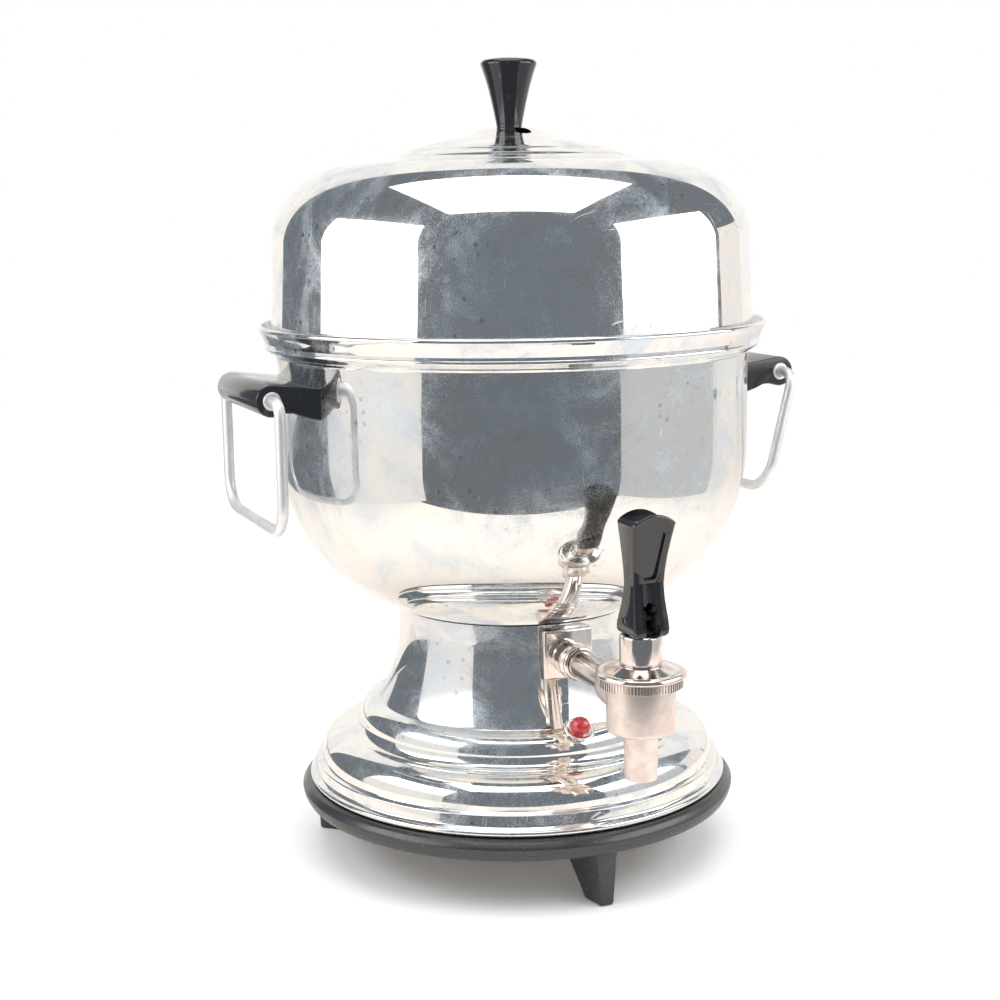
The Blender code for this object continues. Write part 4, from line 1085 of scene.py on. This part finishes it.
def makeInsert():
    wall = [(60.0, 290.0, 0.5), (58.2, 288.6, 0.8), (58.0, 228.0, 3.0), (53.0, 222.0, 2.0), (4.4, 222.0)]
    wall += [(4.4, 222.8), (52.6, 222.8, 2.0), (57.2, 228.2, 3.0), (57.2, 290.0)]
    basket = toObject(spinOutline(softened(wall), 120, closed=True), "coffeeBasket", aluminium)
    stands(basket, "percolator", "basket", slot="spun_aluminium")


makeLid()
makeKnob()
makeBowl()
print("lid and bowl made")
makePedestal()
makeBaseRing()
print("pedestal and base ring made")
for side in ("left", "right"):
    makeBracket(side)
    makeFerrules(side)
    makeBail(side)
print("handles made")
makeTapBody()
makeBonnet()
makePipe()
makeValveSpring()
makeLever()
print("tap made")
makeLamp()
makeInlet()
makeInsert()
print("lamp, inlet and insert made")


# studio

studio = {
    "floorRadius": 2.6,
    "cameraAt": (-410.2, -944.8, 397.7),
    "heading": 23.0,
    "pitch": 10.06,
    "roll": -0.77,
    "lens": 61.19,
    "room": "#757D85",
    "roomRadius": 2.45,
    "sweepOpening": 45.0,  # half angle of the pale sweep behind the table
    "tableFront": 0.48,
    "tableLeft": 0.66,
}
cards = {
    # azimuth from the camera, distance, low and high edge, width, colour, strength at the foot and at the top
    "cardLeft": (-66, 0.62, 0.002, 0.36, 0.59, "#FBF9F6", 0.97, 1.9),
    "cardRight": (75, 0.64, 0.002, 0.36, 0.68, "#F0F2F5", 0.68, 1.7),
    "creamFlat": (121, 1.30, 0.002, 0.58, 0.52, "#F6F1EC", 1.05, 1.05),
}
softboxes = {
    # azimuth from the camera, distance, middle height, width, height, radiance
    "softboxLeft": (-66, 0.62, 0.53, 0.59, 0.34, 3.2),
    "softboxRight": (75, 0.64, 0.53, 0.68, 0.34, 3.2),
}


def stageObject(bm, name):
    mesh = bpy.data.meshes.new(name)
    bm.to_mesh(mesh)
    bm.free()
    obj = bpy.data.objects.new(name, mesh)
    bpy.context.scene.collection.objects.link(obj)
    return obj


def makeFloor():
    bm = bmesh.new()
    bmesh.ops.create_circle(bm, cap_ends=True, radius=studio["floorRadius"], segments=96)
    floor = stageObject(bm, "paleFloor")
    made, tree, shader, where = newMaterial("palePaperFloor")
    pulp = addNode(tree, "ShaderNodeTexNoise", {"Vector": where, "Scale": 3, "Detail": 2})
    tint = addNode(
        tree,
        "ShaderNodeMix",
        {"Factor": pulp.outputs["Fac"], "A": toLinear("#FFFFFF"), "B": toLinear("#FCFCFB")},
        data_type="RGBA",
    )
    # the floor turns cream for mirror rays alone, which warms what the polished metal shows of it
    path = addNode(tree, "ShaderNodeLightPath")
    shown = addNode(
        tree,
        "ShaderNodeMix",
        {"Factor": path.outputs["Is Glossy Ray"], "A": tint.outputs["Result"], "B": toLinear("#E9E3DE")},
        data_type="RGBA",
    )
    tree.links.new(shown.outputs["Result"], shader.inputs["Base Color"])
    shader.inputs["Roughness"].default_value = 0.8
    shader.inputs["Specular IOR Level"].default_value = 0.0
    floor.data.materials.append(made)


def onlyReflected(obj, colour, low, high, levels=(0.26, 0.36)):
    # the glow rises from low to high between two heights
    made = bpy.data.materials.new(obj.name)
    made.use_nodes = True
    tree = made.node_tree
    tree.nodes.clear()
    where = addNode(tree, "ShaderNodeTexCoord").outputs["Object"]
    height = addNode(tree, "ShaderNodeSeparateXYZ", {"Vector": where}).outputs["Z"]
    strength = addNode(
        tree,
        "ShaderNodeMapRange",
        {"Value": height, "From Min": levels[0], "From Max": levels[1], "To Min": low, "To Max": high},
        interpolation_type="SMOOTHSTEP",
    )
    glow = addNode(
        tree, "ShaderNodeEmission", {"Color": toLinear(colour), "Strength": strength.outputs["Result"]}
    )
    addNode(tree, "ShaderNodeOutputMaterial", {"Surface": glow.outputs[0]})
    obj.data.materials.append(made)
    obj.visible_camera = False
    obj.visible_diffuse = False
    obj.visible_shadow = False
    obj.visible_transmission = False


def facing(azimuth, elevation=0.0):
    # a direction from the urn, measured from the camera's side
    a = math.radians(azimuth - 90 - studio["heading"])
    e = math.radians(elevation)
    return Vector((math.cos(a) * math.cos(e), math.sin(a) * math.cos(e), math.sin(e)))


def makeDarkRoom():
    # the unlit studio: a dome with a round opening where the pale sweep rises behind the table
    reach = studio["roomRadius"]
    bm = bmesh.new()
    opening = studio["sweepOpening"]
    angles = [math.radians(opening + (180 - opening) * i / 32) for i in range(33)]
    verts = [bm.verts.new((reach * math.sin(a), 0, reach * math.cos(a))) for a in angles]
    edges = [bm.edges.new(pair) for pair in zip(verts, verts[1:])]
    bmesh.ops.spin(
        bm, geom=verts + edges, cent=(0, 0, 0), axis=(0, 0, 1), angle=math.tau, steps=96, use_merge=True
    )
    placed(bm, facing(180, 12).to_track_quat("Z", "Y").to_matrix().to_4x4())
    whole = list(bm.verts) + list(bm.edges) + list(bm.faces)
    bmesh.ops.bisect_plane(bm, geom=whole, plane_co=(0, 0, 0.003), plane_no=(0, 0, -1), clear_outer=True)
    onlyReflected(stageObject(bm, "darkRoom"), studio["room"], 1.0, 1.0)
    # the floor of the room, past the table's front and left edges
    front, left = studio["tableFront"], studio["tableLeft"]
    for name, low, high in (
        ("floorInFront", (-reach, -reach), (reach, -front)),
        ("floorAtLeft", (-reach, -front), (-left, 1.3)),
    ):
        bm = bmesh.new()
        bmesh.ops.create_grid(bm, x_segments=1, y_segments=1, size=0.5)
        bmesh.ops.scale(bm, vec=(high[0] - low[0], high[1] - low[1], 1), verts=bm.verts)
        bmesh.ops.translate(bm, vec=((low[0] + high[0]) / 2, (low[1] + high[1]) / 2, 0.003), verts=bm.verts)
        placed(bm, Matrix.Rotation(math.radians(-studio["heading"]), 4, "Z"))
        onlyReflected(stageObject(bm, name), studio["room"], 0.9, 0.9)


def makeCard(name):
    azimuth, distance, low, high, width, colour, dim, bright = cards[name]
    bm = bmesh.new()
    bmesh.ops.create_grid(bm, x_segments=1, y_segments=1, size=0.5)
    bmesh.ops.scale(bm, vec=(width, high - low, 1), verts=bm.verts)
    placed(bm, facing(azimuth).to_track_quat("Z", "Y").to_matrix().to_4x4())
    bmesh.ops.translate(bm, vec=facing(azimuth) * distance + Vector((0, 0, (low + high) / 2)), verts=bm.verts)
    onlyReflected(stageObject(bm, name), colour, dim, bright)


def addAreaLight(name, place, turn, width, height, radiance):
    data = bpy.data.lights.new(name, "AREA")
    data.shape = "RECTANGLE"
    data.size = width
    data.size_y = height
    data.energy = radiance * math.pi * width * height
    data.diffuse_factor = 0.35  # the world's even light does most of the lighting
    lamp = bpy.data.objects.new(name, data)
    lamp.location = place
    lamp.rotation_euler = turn
    lamp.visible_camera = False
    bpy.context.scene.collection.objects.link(lamp)


def makeLights():
    for name, (azimuth, distance, height, width, tall, radiance) in softboxes.items():
        away = facing(azimuth)
        turn = away.to_track_quat("Z", "Y").to_euler()
        addAreaLight(name, away * distance + Vector((0, 0, height)), turn, width, tall, radiance)
    place = facing(0) * 0.30 + Vector((0, 0, 1.62))
    addAreaLight("overheadBox", place, (0, 0, math.radians(-studio["heading"])), 1.46, 1.50, 1.9)


def makeCamera():
    data = bpy.data.cameras.new("studioCamera")
    data.lens = studio["lens"]
    data.sensor_width = 36.0
    camera = bpy.data.objects.new("studioCamera", data)
    x, y, z = studio["cameraAt"]
    turn = Matrix.Rotation(math.radians(-studio["heading"]), 4, "Z")
    tilt = Matrix.Rotation(math.radians(90 - studio["pitch"]), 4, "X")
    roll = Matrix.Rotation(math.radians(studio["roll"]), 4, "Z")
    place = Matrix.Translation((x * 0.001, (y + axisShift) * 0.001, z * 0.001))
    camera.matrix_world = place @ turn @ tilt @ roll
    bpy.context.scene.collection.objects.link(camera)
    bpy.context.scene.camera = camera


def makeWorld():
    # white to the camera, a little dimmer as the light that falls on things
    world = bpy.data.worlds.new("studioWorld")
    bpy.context.scene.world = world
    world.use_nodes = True
    tree = world.node_tree
    tree.nodes.clear()
    path = addNode(tree, "ShaderNodeLightPath")
    seen = addNode(tree, "ShaderNodeBackground", {"Color": toLinear("#FFFFFF"), "Strength": 1.0})
    mirrored = addNode(tree, "ShaderNodeBackground", {"Color": toLinear("#FFFDFA"), "Strength": 1.06})
    light = addNode(tree, "ShaderNodeBackground", {"Color": toLinear("#FCFBFA"), "Strength": 1.02})
    unseen = addNode(
        tree,
        "ShaderNodeMixShader",
        {0: path.outputs["Is Diffuse Ray"], 1: mirrored.outputs[0], 2: light.outputs[0]},
    )
    both = addNode(
        tree,
        "ShaderNodeMixShader",
        {0: path.outputs["Is Camera Ray"], 1: unseen.outputs[0], 2: seen.outputs[0]},
    )
    addNode(tree, "ShaderNodeOutputWorld", {"Surface": both.outputs[0]})


makeFloor()
makeDarkRoom()
for name in cards:
    makeCard(name)
makeLights()
makeWorld()
makeCamera()
bpy.context.scene.view_settings.view_transform = "Standard"
print("studio ready")
